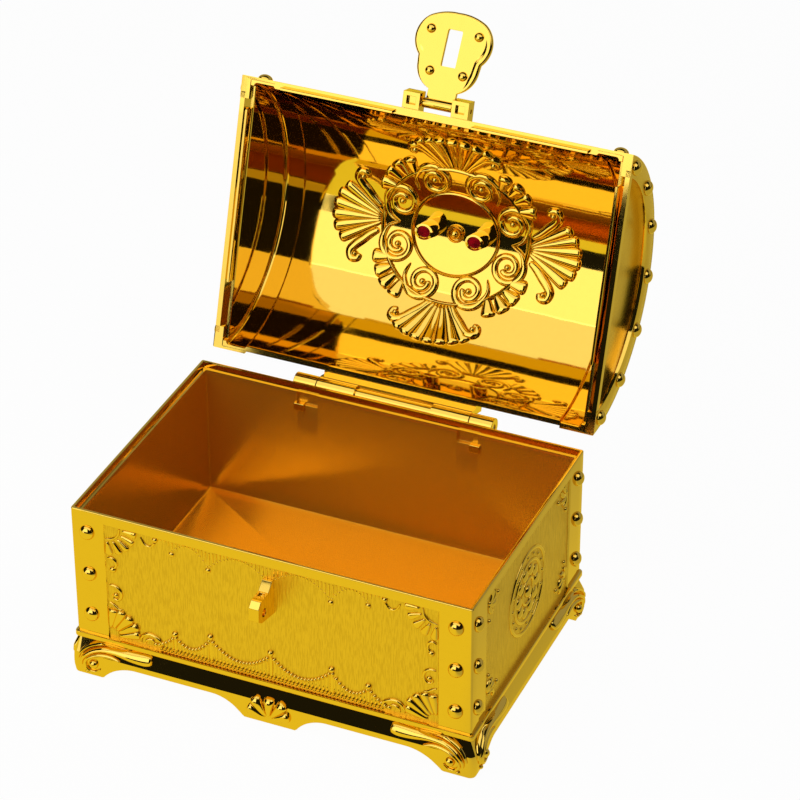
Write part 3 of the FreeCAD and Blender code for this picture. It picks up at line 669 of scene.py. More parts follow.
def plinth_skin(m, skin):
    """Plinth: a closed section of lip, neck, slope, bulge, toe and inner face carried round the box.

    Below the slope the section stops at the arch's edge, so its heights are shared out from there."""
    top = m.plinth_height
    loop = rectangle_loop(np.linspace(-1, 1, 201), np.linspace(-1, 1, 141))
    half = np.array((m.half_width, m.half_depth))
    straight = half - PLINTH_ROUND
    x, y = (loop[:, :2] * straight).T
    front, side = np.abs(loop[:, 3]) > 0.99, np.abs(loop[:, 2]) > 0.99
    edge = np.where(front, arch_height(x, *FRONT_ARCH), np.where(side, arch_height(y, *SIDE_ARCH), 0.0))
    fixed = np.array((
        (PLINTH_INNER, top), (0.6, top), (0.88, top - 0.1), (1.0, top - 0.35), (1.0, top - 1.85),
        (0.88, top - 2.1), (0.55, top - 2.3), (-0.45, 14.88), (-0.6, 14.7), (-0.53, 14.54), (-0.42, 14.3),
        (0.675, 11.85), (1.77, 9.4), (1.87, 9.18), (1.95, SLOPE_FOOT)))
    shares = np.array((0.12, 0.25, 0.4, 0.55, 0.7, 0.82, 0.92, 0.97))[:, None]
    low_up = SLOPE_FOOT + shares * (edge - SLOPE_FOOT)
    toe = plinth_reach(edge + 0.25)
    inner = np.full_like(edge, PLINTH_INNER)
    out = np.concatenate((np.repeat(fixed[:, :1], len(loop), 1), plinth_reach(low_up),
                          np.stack((toe - 0.05, toe - 0.3, inner + 0.2, inner))))
    up = np.concatenate((np.repeat(fixed[:, 1:], len(loop), 1), low_up,
                         np.stack((edge + 0.1, edge, edge, edge + 0.2))))
    flat = loop[:, :2] * straight + loop[:, 2:] * (PLINTH_ROUND + out[..., None])
    flat = np.where((out < -0.8)[..., None], np.clip(flat, -half - PLINTH_INNER, half + PLINTH_INNER), flat)
    skin.add(np.concatenate((flat, up[..., None]), -1), wrap=(True, True))


def plinth_gussets(m, skin):
    """Corner plates inside the plinth that the screws pass through."""
    for a in (-1, 1):
        for b in (-1, 1):
            x, y = a * (m.half_width - GUSSET_INSET), b * (m.half_depth - GUSSET_INSET)
            skin.add(rounded_block((x - GUSSET_HALF, x + GUSSET_HALF), (y - GUSSET_HALF, y + GUSSET_HALF),
                                   GUSSET_UP, GUSSET_EASE))


def rounded_block(x, y, z, ease):
    """Box with eased edges: rings of the box in Y and Z, drawn in by the ease at both ends of X."""
    ring = (
        (y[0] + ease, z[0]), (y[1] - ease, z[0]), (y[1], z[0] + ease), (y[1], z[1] - ease),
        (y[1] - ease, z[1]), (y[0] + ease, z[1]), (y[0], z[1] - ease), (y[0], z[0] + ease))
    drawn = 1 - 2 * ease / np.array((y[1] - y[0], z[1] - z[0]))
    return carried(ring, (x[0], 0), (x[0], drawn), (x[0] + ease, 1),
                   (x[1] - ease, 1), (x[1], drawn), (x[1], 0))


def bar(section, half):
    """Closed bar with sharp ends."""
    return carried(section, (-half, 0), (-half, 1), (half, 1), (half, 0))


def carried(section, *places):
    """Section in two directions carried along the third, drawn to its middle by a share at each place."""
    section = np.asarray(section, float)
    middle = section.mean(0)
    return np.array([np.column_stack((np.full(len(section), at), middle + (section - middle) * size))
                     for at, size in places])


def side_face(m, facing, reach):
    """Placing of ornament along, up and out of one side, whose face stands out by its reach at a height."""
    def place(p):
        along, up = p[..., 0], p[..., 1]
        out = p[..., 2] + reach(up)
        w, d = m.half_width + out, m.half_depth + out
        return np.stack({"front": (along, -d, up), "rear": (-along, d, up),
                         "right": (w, along, up), "left": (-w, -along, up)}[facing], -1)
    return place


def wall_face(m, facing):
    """Placing of ornament on a sunk panel."""
    return side_face(m, facing, lambda up: -m.panel_recess)


def vault_face(m, inside):
    """Placing of ornament on the barrel: along X, and an arc from the crown with plus towards the hinge."""
    radius = m.inner if inside else m.vault

    def place(p):
        r = radius - p[..., 2] if inside else radius + p[..., 2]
        turn = p[..., 1] / radius
        return np.stack((p[..., 0], r * np.sin(turn), m.lid_centre + r * np.cos(turn)), -1)
    return place


# Strands of the right half of the wall panels: place along, height, half width and rise
PANEL_STRANDS = (
    ((56.6, 65.6, .3, .4), (57.2, 62.8, .5, .6), (59.2, 60.8, .5, .6), (62.3, 60.0, .3, .4)),
    ((48.6, 64.6, .3, .4), (47.4, 62.4, .5, .6), (45.8, 61.4, .5, .6), (44.2, 61.9, .5, .6),
     (43.0, 63.6, .4, .5)),
    ((61.8, 40.4, .4, .5), (59.6, 40.5, .6, .7), (57.6, 39.1, .6, .7), (57.1, 36.6, .6, .7),
     (58.5, 34.7, .6, .7), (60.3, 35.2, .5, .6), (60.4, 36.6, .4, .5)),
    ((61.9, 33.0, .3, .4), (60.4, 32.2, .5, .6), (58.8, 31.0, .5, .6), (57.2, 30.6, .3, .4)),
    ((61.9, 51.6, .4, .5), (60.4, 52.4, .6, .7), (58.9, 51.3, .6, .7), (58.6, 49.2, .5, .6),
     (59.8, 48.0, .5, .6)),
    ((50.2, 18.6, .3, .4), (49.8, 21.4, .6, .8), (47.6, 23.2, .7, .9), (44.8, 23.0, .7, .9),
     (42.4, 21.5, .6, .8), (42.3, 19.7, .5, .7), (43.8, 19.2, .4, .5)),
    ((48.6, 18.8, .3, .4), (47.8, 20.6, .6, .7), (45.9, 21.2, .5, .6), (44.9, 20.4, .4, .5)),
)
# Balls of the panels: place along, height and radius
PANEL_BALLS = ((59.9, 47.4, 1.25), (42.9, 64.8, 1.1), (59.2, 36.6, 1.0), (44.4, 19.6, .9))
# Corner fans: degrees of the upper petals from straight down, and tips of the lower ones from the corner
UPPER_PETALS = np.array((-82, -63, -45, -27, -8.0))
LOWER_PETALS = ((-2.2, 12.4), (-5.6, 12.3), (-9.0, 10.4), (-11.6, 7.4), (-12.2, 3.8))
# Chain: its posts, both ends of each span, its height halfway and at its end, and the last span's sag
SWAG_POSTS = ((0.0, 29.3), (23.0, 29.3), (36.7, 26.3))
SWAG_SPANS = ((0.0, 28.2, 23.0, 28.2), (23.0, 28.2, 36.7, 25.2), (36.7, 25.2, 43.0, 20.0))
SWAG_HALFWAY, SWAG_END, LAST_SAG = 21.7, 19.6, 0.6
# Upper border: the line that mirrors the chain, and its drops
PANEL_MIDDLE, UPPER_DROPS = 43.4, ((23.0, 57.6), (36.8, 60.4))
# Pickets: their pitch, the foot of the lower ones and the height of the rope
RIB_PITCH, RIB_FOOT, ROPE_UP = 1.4, 18.9, 18.7


def swag_height(along):
    """Height of the chain: a parabola in each span, all of one height halfway along but for the last."""
    along = np.abs(along)
    height = np.full_like(along, SWAG_END)
    for x0, z0, x1, z1 in SWAG_SPANS:
        t = (along - x0) / (x1 - x0)
        sag = LAST_SAG if (x0, z0, x1, z1) == SWAG_SPANS[-1] else (z0 + z1) / 2 - SWAG_HALFWAY
        height = np.where((t >= 0) & (t <= 1), z0 + (z1 - z0) * t - 4 * sag * t * (1 - t), height)
    return height


def panel_relief(m, skin):
    """Border of the front panel: pickets and a rope along the foot, chain swags on ball posts, the same in a
    lower relief along the top, fans and shells in the corners and small scrolls at the ends."""
    on = Relief(skin, wall_face(m, "front"))
    for sign in (-1, 1):
        on.strands([mirrored(rows, sign) for rows in PANEL_STRANDS])
        for a, b, r in PANEL_BALLS:
            on.domes([(sign * a, b)], r, r * 0.9)
        corner = np.array((sign * m.panel_half, m.rim_height - PANEL_DROP))
        on.fan(corner, arc_tips(corner, 12.6, 270 + sign * UPPER_PETALS), 1.5, 0.9, start=0.56, blunt=1.8)
        low = np.array((sign * m.panel_half, m.plinth_height + 0.5))
        on.fan(low, low + np.array(LOWER_PETALS) * (sign, 1), 1.95, 1.5, start=0.3, blunt=1.8)
    chain = np.arange(-42.9, 43.0, 1.3)
    on.domes(np.stack((chain, swag_height(chain)), -1), 0.8, 0.9, rings=4, turns=10)
    ribs = np.arange(-42, 42.1, RIB_PITCH)
    top = np.maximum(swag_height(ribs) - 0.5, SWAG_END)
    pickets = rows_through([(ribs, RIB_FOOT), (ribs, (top + RIB_FOOT) / 2), (ribs, top)], 0.3, 0.2)
    rope = rows_through([(ribs + 0.5 * s, ROPE_UP + 0.75 * s) for s in (-1, 0, 1)], 0.45, 0.7)
    on.strands([pickets], along=8, across=4)
    on.strands([rope], along=8, across=5, blunt=2.0)
    for a, b in SWAG_POSTS:
        for at in ((-a, a) if a else (a,)):
            on.domes([(at, b)], 1.25, 1.25)
            on.strands([((at, 19, .5, .3), (at, 24, .7, .45), (at, b - .6, .6, .45))])
    hang = np.concatenate((np.arange(-42, -7, RIB_PITCH), np.arange(-6.3, 6.4, RIB_PITCH),
                           np.arange(7, 42.1, RIB_PITCH)))
    top = m.rim_height - 4.4
    low = np.minimum(2 * PANEL_MIDDLE - swag_height(hang) + 0.6, top - 0.6)
    hanging = rows_through([(hang, top), (hang, (top + low) / 2), (hang, low)], 0.28, 0.2)
    on.strands([hanging], along=8, across=4)
    on.domes([(sign * a, b) for sign in (-1, 1) for a, b in UPPER_DROPS], 1.1, 0.8)
    chain = chain[np.abs(chain) <= 36.5]
    upper = np.stack((chain, 2 * PANEL_MIDDLE - swag_height(chain)), -1)
    on.domes(upper, 0.45, 0.25, rings=3, turns=8)


# End panels: middle of the medallion, place of the sprays from it, and the strand of a spray
END_MIDDLE, SPRAY_OUT, SPRAY_UP, SPRAY_BALL = (0.0, 43.0), 35.6, 19.0, 7.5
SPRAY = ((0, 0, .3, .3), (1.6, 1.4, .9, .8), (3.6, 1.8, 1.0, .9), (5.4, .6, .5, .5))


def side_relief(facing, m, skin):
    """Round medallion with rings and a flower of domes, and small sprays in the corners of an end panel."""
    on = Relief(skin, wall_face(m, facing))
    on.hoop(END_MIDDLE, (16.0, 16.0), 0.8, 0.5)
    on.hoop(END_MIDDLE, (11.6, 11.6), 0.7, 0.45)
    on.hoop(END_MIDDLE, (5.0, 5.0), 0.6, 0.6, turns=48)
    on.domes([END_MIDDLE], 2.4, 1.3)
    on.domes(arc_tips(END_MIDDLE, 8.2, np.arange(10) * 36.0), 2.3, 0.9, rings=8, turns=20)
    on.domes(arc_tips(END_MIDDLE, 13.8, np.arange(16) * 22.5), 0.8, 0.5, rings=4, turns=10)
    for a in (-1, 1):
        for b in (-1, 1):
            x, z = a * SPRAY_OUT, END_MIDDLE[1] + b * SPRAY_UP
            turns = np.radians([angle if a > 0 else 180 - angle for angle in (100, 140, 185, 230)])
            on.strands([spun(SPRAY, turn, (x, z), a * b) for turn in turns])
            on.domes([(x, z), (x - a * SPRAY_BALL, z), (x, z - b * SPRAY_BALL)], 0.9, 0.8)


# Strands of the right foot of the plinth: place along, height, half width and rise
FOOT_STRANDS = (
    ((45.6, 12.5, 1.6, 1.4), (48.6, 12.4, 2.1, 2.0), (53.6, 12.5, 1.9, 2.2), (59.6, 12.7, 1.3, 2.0),
     (65.2, 12.2, 1.0, 1.8), (69.6, 10.4, .9, 1.6), (72.4, 7.4, .8, 1.3), (73.0, 4.2, .5, .9)),
    ((54.0, 14.5, .3, 1.0), (59.0, 14.9, .6, 1.7), (64.4, 14.6, .7, 1.8), (69.4, 12.9, .7, 1.7),
     (73.0, 9.9, .6, 1.2), (74.4, 6.6, .4, .7)),
    ((57.6, 9.3, .3, .5), (61.4, 10.2, .7, 1.0), (65.2, 10.1, .8, 1.2), (68.6, 9.1, .8, 1.3),
     (71.2, 7.0, .8, 1.3), (71.5, 4.4, .7, 1.2), (69.8, 2.6, .6, 1.0), (67.4, 2.6, .5, .8),
     (65.6, 4.2, .4, .6)),
)
# Balls of the foot: place along, height, size and steps of the dome
FOOT_BALLS = ((68.2, 5.7, 1.8, 8, 20), (71.0, 1.5, 0.9, 6, 16))
PALMETTE_ROOT = (0.0, 2.6)
PALMETTE = ((-8.1, 6.0), (-5.9, 10.4), (0.2, 11.3), (6.1, 10.4), (8.1, 6.0))


def plinth_relief(m, skin):
    """Scroll with a ball and an acanthus leaf on every foot, and a palmette on both aprons."""
    nearer = m.half_width - m.half_depth
    for facing, back in (("front", 0.0), ("rear", 0.0), ("right", nearer), ("left", nearer)):
        on = Relief(skin, side_face(m, facing, plinth_reach))
        for sign in (-1, 1):
            on.strands([mirrored(np.array(rows) - (back, 0, 0, 0), sign) for rows in FOOT_STRANDS],
                       along=30, across=9)
            for a, b, size, rings, turns in FOOT_BALLS:
                on.domes([(sign * (a - back), b)], size, size, rings=rings, turns=turns)
    for facing in ("front", "rear"):
        Relief(skin, side_face(m, facing, plinth_reach)).fan(PALMETTE_ROOT, PALMETTE, 2.2, 2.0, blunt=1.5)


# Lid: inner face of the end walls, fillet there, outer end of the barrel and samples along an arc
END_INSIDE, END_FILLET, BARREL_END, ARC_SAMPLES = 70.0, 1.2, 71.2, 121
# Hoop of strap and end band: place along and drop from the lid's radius, with the brushing of each row
END_BAND = np.array((
    (62.0, 1.18), (62.0, .28), (62.08, .08), (62.3, 0), (68.5, 0), (74.6, 0), (74.88, .12), (75.0, .38),
    (75.0, 4.08), (75.0, 7.68), (74.9, 7.93), (74.6, 8.08), (71.5, 8.08), (71.5, 1.18)))
END_BAND_GRAIN = np.array((0, 0, 0, 0, 0, 0, 0, .6, .6, .6, .3, 0, 0, 0))
# Sill under the end walls: place along and height above the lid's rim, and its half length
END_SILL = ((74.9, .1), (74.8, 0), (73.1, 0), (73.0, .1), (71.2, 2.1), (71.2, 2.5), (74.8, 2.5), (74.9, 2.4))
END_SILL_HALF = 45.5
# Bar along the front rim: drop from the lid's radius and height above its rim, and its half length
FRONT_BAR = ((0, .2), (0, 1.2), (0, 2.2), (.06, 2.38), (.25, 2.46), (1.4, 2.46), (1.4, .05), (.3, 0))
FRONT_BAR_HALF = 62.3
# Flat disc under the stone: radii, and heights of its top above the barrel
DISC_OUT, DISC_UP = np.array((0, 16.2, 16.42, 16.5, 16.5, 0)), np.array((.6, .6, .52, .3))
# Studs of the lid: angle between them, depth of those on the bands and place of those on the straps
LID_STUD_TURN, BAND_STUD_DROP, STRAP_STUD_AT = 23.587, 4.05, 68.5
# Tongues under the rim: stretch along X on the right and along Y, then their half height and eased edge
TONGUES = (((15.0, 59.0), (-49.9, -48.9)), ((70.6, 71.6), (-39.5, 25.5)))
TONGUE_HALF, TONGUE_EASE = 2.0, 0.15


def lid_shell_skin(m, skin):
    """Barrel: a closed section of outer arc, rim, inner arc and rim carried along X.

    The inner radius steps out at the straps and rounds in to the end walls; each arc's angle is shared out
    from rim to rim."""
    step = np.array((-0.9, -0.6, -0.45, -0.3, -0.15, 0, 0.15, 0.3, 0.45, 0.6, 0.9))
    straight = END_INSIDE - END_FILLET
    round_x = straight + END_FILLET * np.sin(np.radians((-20, 0, 12, 25, 38, 50, 62, 75, 90)))
    half = np.concatenate((m.strap_inner + step, round_x, (66.0, BARREL_END)))
    x = np.unique(np.concatenate((np.linspace(-m.strap_inner, m.strap_inner, 41), -half, half)))[:, None]
    inner = m.inner + m.strap_step * smooth(np.abs(x), m.strap_inner - 0.5, m.strap_inner + 0.5)
    fillet = np.clip((np.abs(x) - straight) / END_FILLET, 0, 1)
    inner = inner - END_FILLET * (1 - np.sqrt(1 - fillet ** 2))
    shares = np.linspace(-1, 1, ARC_SAMPLES)
    low = m.lid_rim

    def arc(radius, part):
        turn = part * np.arccos((low + 0.35 - m.lid_centre) / radius)
        return radius * np.sin(turn), m.lid_centre + radius * np.cos(turn)

    def rim(radius, inward):
        return np.sqrt(radius ** 2 - (low - m.lid_centre) ** 2) - inward, np.full_like(radius, low)

    def section(outside, inside, ease):
        rear = [rim(outside, 0.1 * ease), rim(outside, 0.4 * ease),
                rim(inside, -0.4 * ease), rim(inside, -0.1 * ease)]
        parts = [arc(outside, shares), *rear, arc(inside, -shares), *((-y, z) for y, z in rear[::-1])]
        return np.stack([np.concatenate([part[k] for part in parts], 1) for k in (0, 1)], -1)

    middle = np.full((2, 1), m.vault - m.lid_wall / 2)
    closed = section(middle, middle, 0.0)
    loops = np.concatenate((closed[:1], section(np.full_like(x, m.vault), inner, 1.0), closed[1:]))
    x = np.concatenate((x[:1], x, x[-1:]))
    grain = np.zeros(loops.shape[:-1])
    grain[:, :len(shares)] = gate(x, -m.strap_inner, m.strap_inner, PANEL_EDGE) * 0.8
    skin.add(np.concatenate((np.broadcast_to(x[..., None], loops.shape[:-1] + (1,)), loops), -1), grain=grain)


def lid_ends(m, skin):
    """End walls under the arc, and the hoops of straps and end bands with their edges eased."""
    low = m.lid_rim
    shares = np.linspace(-1, 1, ARC_SAMPLES)
    for side in (-1, 1):
        radius = m.inner + m.strap_step + 0.5
        turn = shares * math.acos((low + 0.02 - m.lid_centre) / radius)
        y, top = radius * np.sin(turn), m.lid_centre + radius * np.cos(turn)
        edge = np.minimum(low + 2.0, top)
        rows = [(END_INSIDE + 0.25, edge), (END_INSIDE, np.minimum(edge + 0.25, top)), (END_INSIDE, top),
                (END_INSIDE + m.lid_wall, top), (END_INSIDE + m.lid_wall, edge)]
        grid = np.stack([np.stack((np.full_like(y, side * at), y, z), -1) for at, z in rows], 1)
        skin.add(grid, grain=np.array((0, 0, 0, 0.7, 0.7)))
        r = m.lid_radius - END_BAND[:, 1]
        turn = shares[:, None] * np.arccos((low - m.lid_centre) / r)
        band = np.stack((np.broadcast_to(side * END_BAND[:, 0], turn.shape), r * np.sin(turn),
                         m.lid_centre + r * np.cos(turn)), -1)
        pole = np.repeat(band[:, 5:6] * 0.5 + band[:, 7:8] * 0.5, len(END_BAND), 1)
        skin.add(np.concatenate((pole[:1], band, pole[-1:])), grain=END_BAND_GRAIN)
        sill = np.array(END_SILL) * (side, 1) + (0, low)
        skin.add(bar(sill, END_SILL_HALF)[..., (1, 0, 2)])


def lid_front(m, skin):
    """Bar along the front rim, flush with the straps, and the flat disc under the stone.

    The bar is a ring of points on radii of the barrel carried along X. The disc has a level top and an
    upright edge, and its closing face follows the barrel inside its wall."""
    def at(drop, rise):
        up = m.lid_rim + rise
        return -math.sqrt((m.lid_radius - drop) ** 2 - (up - m.lid_centre) ** 2), up

    skin.add(bar([at(drop, rise) for drop, rise in FRONT_BAR], FRONT_BAR_HALF))
    turn = np.linspace(0, 2 * np.pi, 64, endpoint=False)
    x, y = DISC_OUT[:, None] * np.cos(turn), DISC_OUT[:, None] * np.sin(turn)
    top = m.lid_centre + m.vault + DISC_UP[:, None] + 0 * y[:4]
    under = m.lid_centre + np.sqrt((m.vault - m.lid_wall / 2) ** 2 - y[4:] ** 2)
    skin.add(np.stack((x, y, np.concatenate((top, under))), -1))


def lid_studs(m, skin):
    """Seven studs round each end band and seven round each strap."""
    centre = np.array((0, 0, m.lid_centre))
    for side in (-1, 1):
        for t in np.radians((np.arange(7) - 3) * LID_STUD_TURN):
            out = np.array((0, math.sin(t), math.cos(t)))
            on_band = centre + out * (m.lid_radius - BAND_STUD_DROP) + (side * m.half_width, 0, 0)
            on_strap = centre + out * (m.lid_radius - 0.05) + (side * STRAP_STUD_AT, 0, 0)
            skin.add(studs_on(m, [on_band], (side, 0, 0)))
            skin.add(studs_on(m, [on_strap], out))


def lid_tongues(m, skin):
    """Locating tongues under the front rim and under both end walls."""
    z = (m.lid_rim - TONGUE_HALF, m.lid_rim + TONGUE_HALF)
    for side in (-1, 1):
        for x, y in TONGUES:
            skin.add(rounded_block(sorted((side * x[0], side * x[1])), y, z, TONGUE_EASE))


# Quarter of the lid's medallion: curled end of a palmette, tips of the petals, roots and places of scrolls
END_CURL = np.array((
    (29.8, 4.4, 1.1, 1.1), (33.2, 6.8, 1.7, 1.4), (36.0, 9.6, 1.9, 1.6), (38.4, 12.0, 1.9, 1.7),
    (39.8, 14.4, 1.8, 1.7), (38.8, 17.0, 1.6, 1.6), (36.4, 16.8, 1.4, 1.5), (35.9, 14.8, 1.1, 1.3)))
CROWN_CURL = END_CURL[:, (1, 0, 2, 3)] - (0, 3.4, 0, 0)
CURL_BALLS = np.array(((37.6, 15.4), (15.4, 34.2)))
SIDE_TIPS = np.array(((44.9, -10.6), (47.8, -7.0), (49.4, -2.6), (49.6, 2.0), (48.3, 6.6), (45.2, 10.6)))
CROWN_TIPS = np.array((
    (-14.4, 39.6), (-10.4, 41.6), (-5.4, 43.0), (0.0, 43.6), (5.4, 43.0), (10.4, 41.6), (14.4, 39.6)))
SHELL_TIPS = np.array(((30.9, 14.4), (28.5, 20.2), (24.9, 24.8), (19.4, 28.0)))
SHELL_ROOT, SIDE_ROOT, CROWN_ROOT = np.array((14.0, 12.6)), 27.0, 23.0
VOLUTE_SPOTS, VOLUTE_LEAN = ((21.9, 8.3), (9.2, 20.0)), 0.8
OUTER_RING, INNER_RING = (28.8, 26.6), (17.0, 15.8)
# Bosses of the stone's pins: places, and the profile of their wall
BOSS_SPOTS = ((-10, 0), (10, 0))
BOSS_OUT, BOSS_UP = (2.48, 3.3, 3.5, 3.5, 2.7, 2.48), (-0.3, -0.3, 0.2, 7.3, 7.5, 7.3)


def volute():
    """Rows of a spiral strand: the radius falls evenly with the angle, from the edge of a roundel to its eye.

    Before the roundel a thin tail swings in from further out."""
    t = np.linspace(-0.12, 1, 19)
    angle, radius = 2 * np.pi * 1.5 * t, 6.6 - np.where(t < 0, 17.0, 4.5) * t
    width = (1.45 - 0.3 * t) * (0.35 + 0.65 * smooth(t, -0.12, 0.06))
    return np.stack((radius * np.cos(angle), radius * np.sin(angle), width, np.full_like(t, 1.3)), -1)


def medallion(inside, m, skin):
    """Round medallion on the barrel: rings, eight volutes, four fan palmettes with curled ends, and shells
    between them. One quarter is drawn and mirrored. Inside, a ball and the bosses stand in the middle."""
    on = Relief(skin, vault_face(m, inside))
    on.hoop((0, 0), OUTER_RING, 0.9, 1.3, turns=128)
    for a in (-1, 1):
        for b in (-1, 1):
            for spot in np.array(VOLUTE_SPOTS) * (a, b):
                out = math.atan2(spot[1], spot[0]) - a * b * VOLUTE_LEAN
                on.strands([spun(volute(), out, spot, a * b)], along=66, across=9)
                on.domes([spot], 1.3, 1.5, rings=8, turns=20)
            on.strands([mirrored(END_CURL, a, b), mirrored(CROWN_CURL, a, b)], along=34, across=9)
            on.domes(CURL_BALLS * (a, b), 1.4, 2.2, rings=8, turns=20)
            on.fan(SHELL_ROOT * (a, b), SHELL_TIPS * (a, b), 3.0, 1.7, start=0.5, blunt=1.5)
    for sign in (-1, 1):
        on.fan((SIDE_ROOT * sign, 0), SIDE_TIPS * (sign, 1), 2.45, 1.6, start=0.12, along=28, blunt=2.6)
        on.fan((0, CROWN_ROOT * sign), CROWN_TIPS * (1, sign), 2.65, 1.6, start=0.2, along=28, blunt=2.6)
    if inside:
        on.hoop((0, 0), INNER_RING, 0.7, 1.1)
        on.domes([(0, 0)], 2.2, 2.6, rings=9, turns=28)
        on.hoop((0, 0), (3.0, 3.0), 0.5, 1.3, turns=32)
        on.add(lathe(BOSS_SPOTS, BOSS_OUT, BOSS_UP, 36), wrap=(True, True))


def three_point_arc(a, b, c, count):
    """Points on the circle through three points, from the first to the last, by way of complex numbers."""
    a, b, c = (complex(*point) for point in (a, b, c))
    ratio = (c - a) / (b - a)
    centre = a + (b - a) * (ratio - abs(ratio) ** 2) / (2j * ratio.imag)
    start, middle, end = (cmath.phase(point - centre) for point in (a, b, c))
    sweep = (end - start) % (2 * math.pi)
    if (middle - start) % (2 * math.pi) > sweep:
        sweep -= 2 * math.pi
    turn = start + sweep * np.linspace(0, 1, count)
    radius = abs(a - centre)
    return np.stack((centre.real + radius * np.cos(turn), centre.imag + radius * np.sin(turn)), -1)


# Hasp: half width and length of its neck, middle and half sizes of its slot, stretch that gets a border
NECK_HALF, NECK_END = 5.4, 5.2
SLOT_MIDDLE, SLOT_HALF = np.array((0.0, 20.6)), np.array((2.85, 6.7))
BORDER_FROM, BORDER_TO = 4.0, 11.0
# Rings of the hasp: inset from the outline, depth, share of the way to the slot and rise of the border
HASP_RINGS = (
    (.4, -1.2, 0, 0), (.12, -1.08, 0, 0), (0, -.8, 0, 0), (0, .2, 0, 0), (.12, .48, 0, 0), (.4, .74, 0, .24),
    (.8, .87, 0, .37), (1.4, .85, 0, .35), (2.1, .7, 0, .2), (2.8, .56, 0, .06), (3.6, .5, 0, 0),
    (3.7, .5, 0, 0), (3.7, .5, .5, 0), (3.7, .5, 1, 0), (3.7, -1.2, 1, 0), (.6, -1.2, .5, 0))
# Barrel round the pin: place along and radius
HASP_BARREL = np.array((
    (-5.8, 0), (-5.8, 1.5), (-5.72, 1.7), (-5.5, 1.8), (5.5, 1.8), (5.72, 1.7), (5.8, 1.5), (5.8, 0)))
# Studs: shares of the half width and of the length, their size, and the depths of the front and back face
HASP_STUD_SHARES, HASP_STUD_SIZE, HASP_FACES = ((0.627, 0.785), (0.432, 0.346)), (1.75, 1.4), (0.5, -1.2)


def hasp_outline(m):
    """Closed outline of the hasp: neck, two lobes on each side and a round tip, from shares of its size."""
    w, n = m.hasp_half_width, m.hasp_length
    neck = np.array(((NECK_HALF, 0.0), (NECK_HALF, NECK_END / 2)))
    lower = three_point_arc((NECK_HALF, NECK_END), (0.698 * w, 0.271 * n), (0.8 * w, 0.412 * n), 14)
    upper = three_point_arc((0.822 * w, 0.495 * n), (1.0 * w, 0.724 * n), (0.718 * w, 0.93 * n), 22)
    tip = three_point_arc((0.718 * w, 0.93 * n), (0.384 * w, 0.986 * n), (0.0, n), 12)
    right = np.concatenate((neck, lower, upper, tip[1:]))
    left = right[::-1][1:] * (-1, 1)
    across = np.linspace(-NECK_HALF, NECK_HALF, 12)[1:-1, None] * (1, 0)
    return np.concatenate((right, left, across))


def hasp_skin(m, skin):
    """Hasp: rings from the slot's edge over the back to the outline, round the raised border and across the
    field to the slot again. Each ring is the outline drawn in along its normal, or a blend with the slot."""
    outline = hasp_outline(m)
    flow = np.roll(outline, -1, 0) - np.roll(outline, 1, 0)
    flow /= np.linalg.norm(flow, axis=1, keepdims=True)
    inward = np.stack((-flow[:, 1], flow[:, 0]), -1)
    ray = outline - SLOT_MIDDLE
    slot = SLOT_MIDDLE + ray * (SLOT_HALF / np.maximum(np.abs(ray), 1e-6)).min(1, keepdims=True)
    border = smooth(outline[:, 1:], BORDER_FROM, BORDER_TO)
    rings = []
    for inset, depth, part, raised in HASP_RINGS:
        flat = outline + inward * (0.2 + 0.8 * border) * inset
        flat = flat + (slot - flat) * part
        out = depth - raised * (1 - border[:, 0])
        rings.append(np.stack((flat[:, 0], m.hasp_plate + out, m.hasp_pin[1] - flat[:, 1]), -1))
    skin.add(np.array(rings), wrap=(True, True))
    turn = np.linspace(0, 2 * np.pi, 40, endpoint=False)
    along, radius = HASP_BARREL[:, :1], HASP_BARREL[:, 1:]
    skin.add(np.stack((np.repeat(along, len(turn), 1), m.hasp_pin[0] + radius * np.cos(turn),
                       m.hasp_pin[1] + radius * np.sin(turn)), -1))
    for facing, at in zip((1, -1), HASP_FACES):
        spots = [(side * a * m.hasp_half_width, m.hasp_plate + at, m.hasp_pin[1] - b * m.hasp_length)
                 for a, b in HASP_STUD_SHARES for side in (-1, 1)]
        skin.add(studs_on(m, spots, (0, facing, 0), *HASP_STUD_SIZE))


def gold_piece(context, name, body, makers, stands_for=()):
    """Gold piece on a body, from functions that add its shells to a skin."""
    m, skin = Measures(context.scene.chest_sizes), Skin()
    for make in makers:
        make(m, skin)
    bodies = {"base": (m.on_base, base_gold), "lid": (m.on_lid, lid_gold), "hasp": (m.on_hasp, lid_gold)}
    place, gold = bodies[body]
    skin.piece(name, body, place, gold(context), stands_for)


class CHEST_OT_tub(bpy.types.Operator):
    """Make the tub with its straps, panels, rim and studs"""
    bl_idname = "chest.tub"
    bl_label = "Tub"

    def execute(self, context):
        gold_piece(context, "tub", "base", (tub_skin, tub_studs), ("base_box",))
        return {"FINISHED"}


class CHEST_OT_tub_relief(bpy.types.Operator):
    """Make the moulded ornament on the front and both ends of the tub"""
    bl_idname = "chest.tub_relief"
    bl_label = "Tub relief"

    def execute(self, context):
        gold_piece(context, "front_relief", "base", (panel_relief,))
        for facing in ("right", "left"):
            gold_piece(context, facing + "_relief", "base", (partial(side_relief, facing),))
        return {"FINISHED"}


class CHEST_OT_plinth(bpy.types.Operator):
    """Make the plinth with its feet, scrolls, leaves and palmettes"""
    bl_idname = "chest.plinth"
    bl_label = "Plinth"

    def execute(self, context):
        gold_piece(context, "plinth", "base", (plinth_skin, plinth_gussets), ("plinth_frame",))
        gold_piece(context, "plinth_relief", "base", (plinth_relief,))
        return {"FINISHED"}


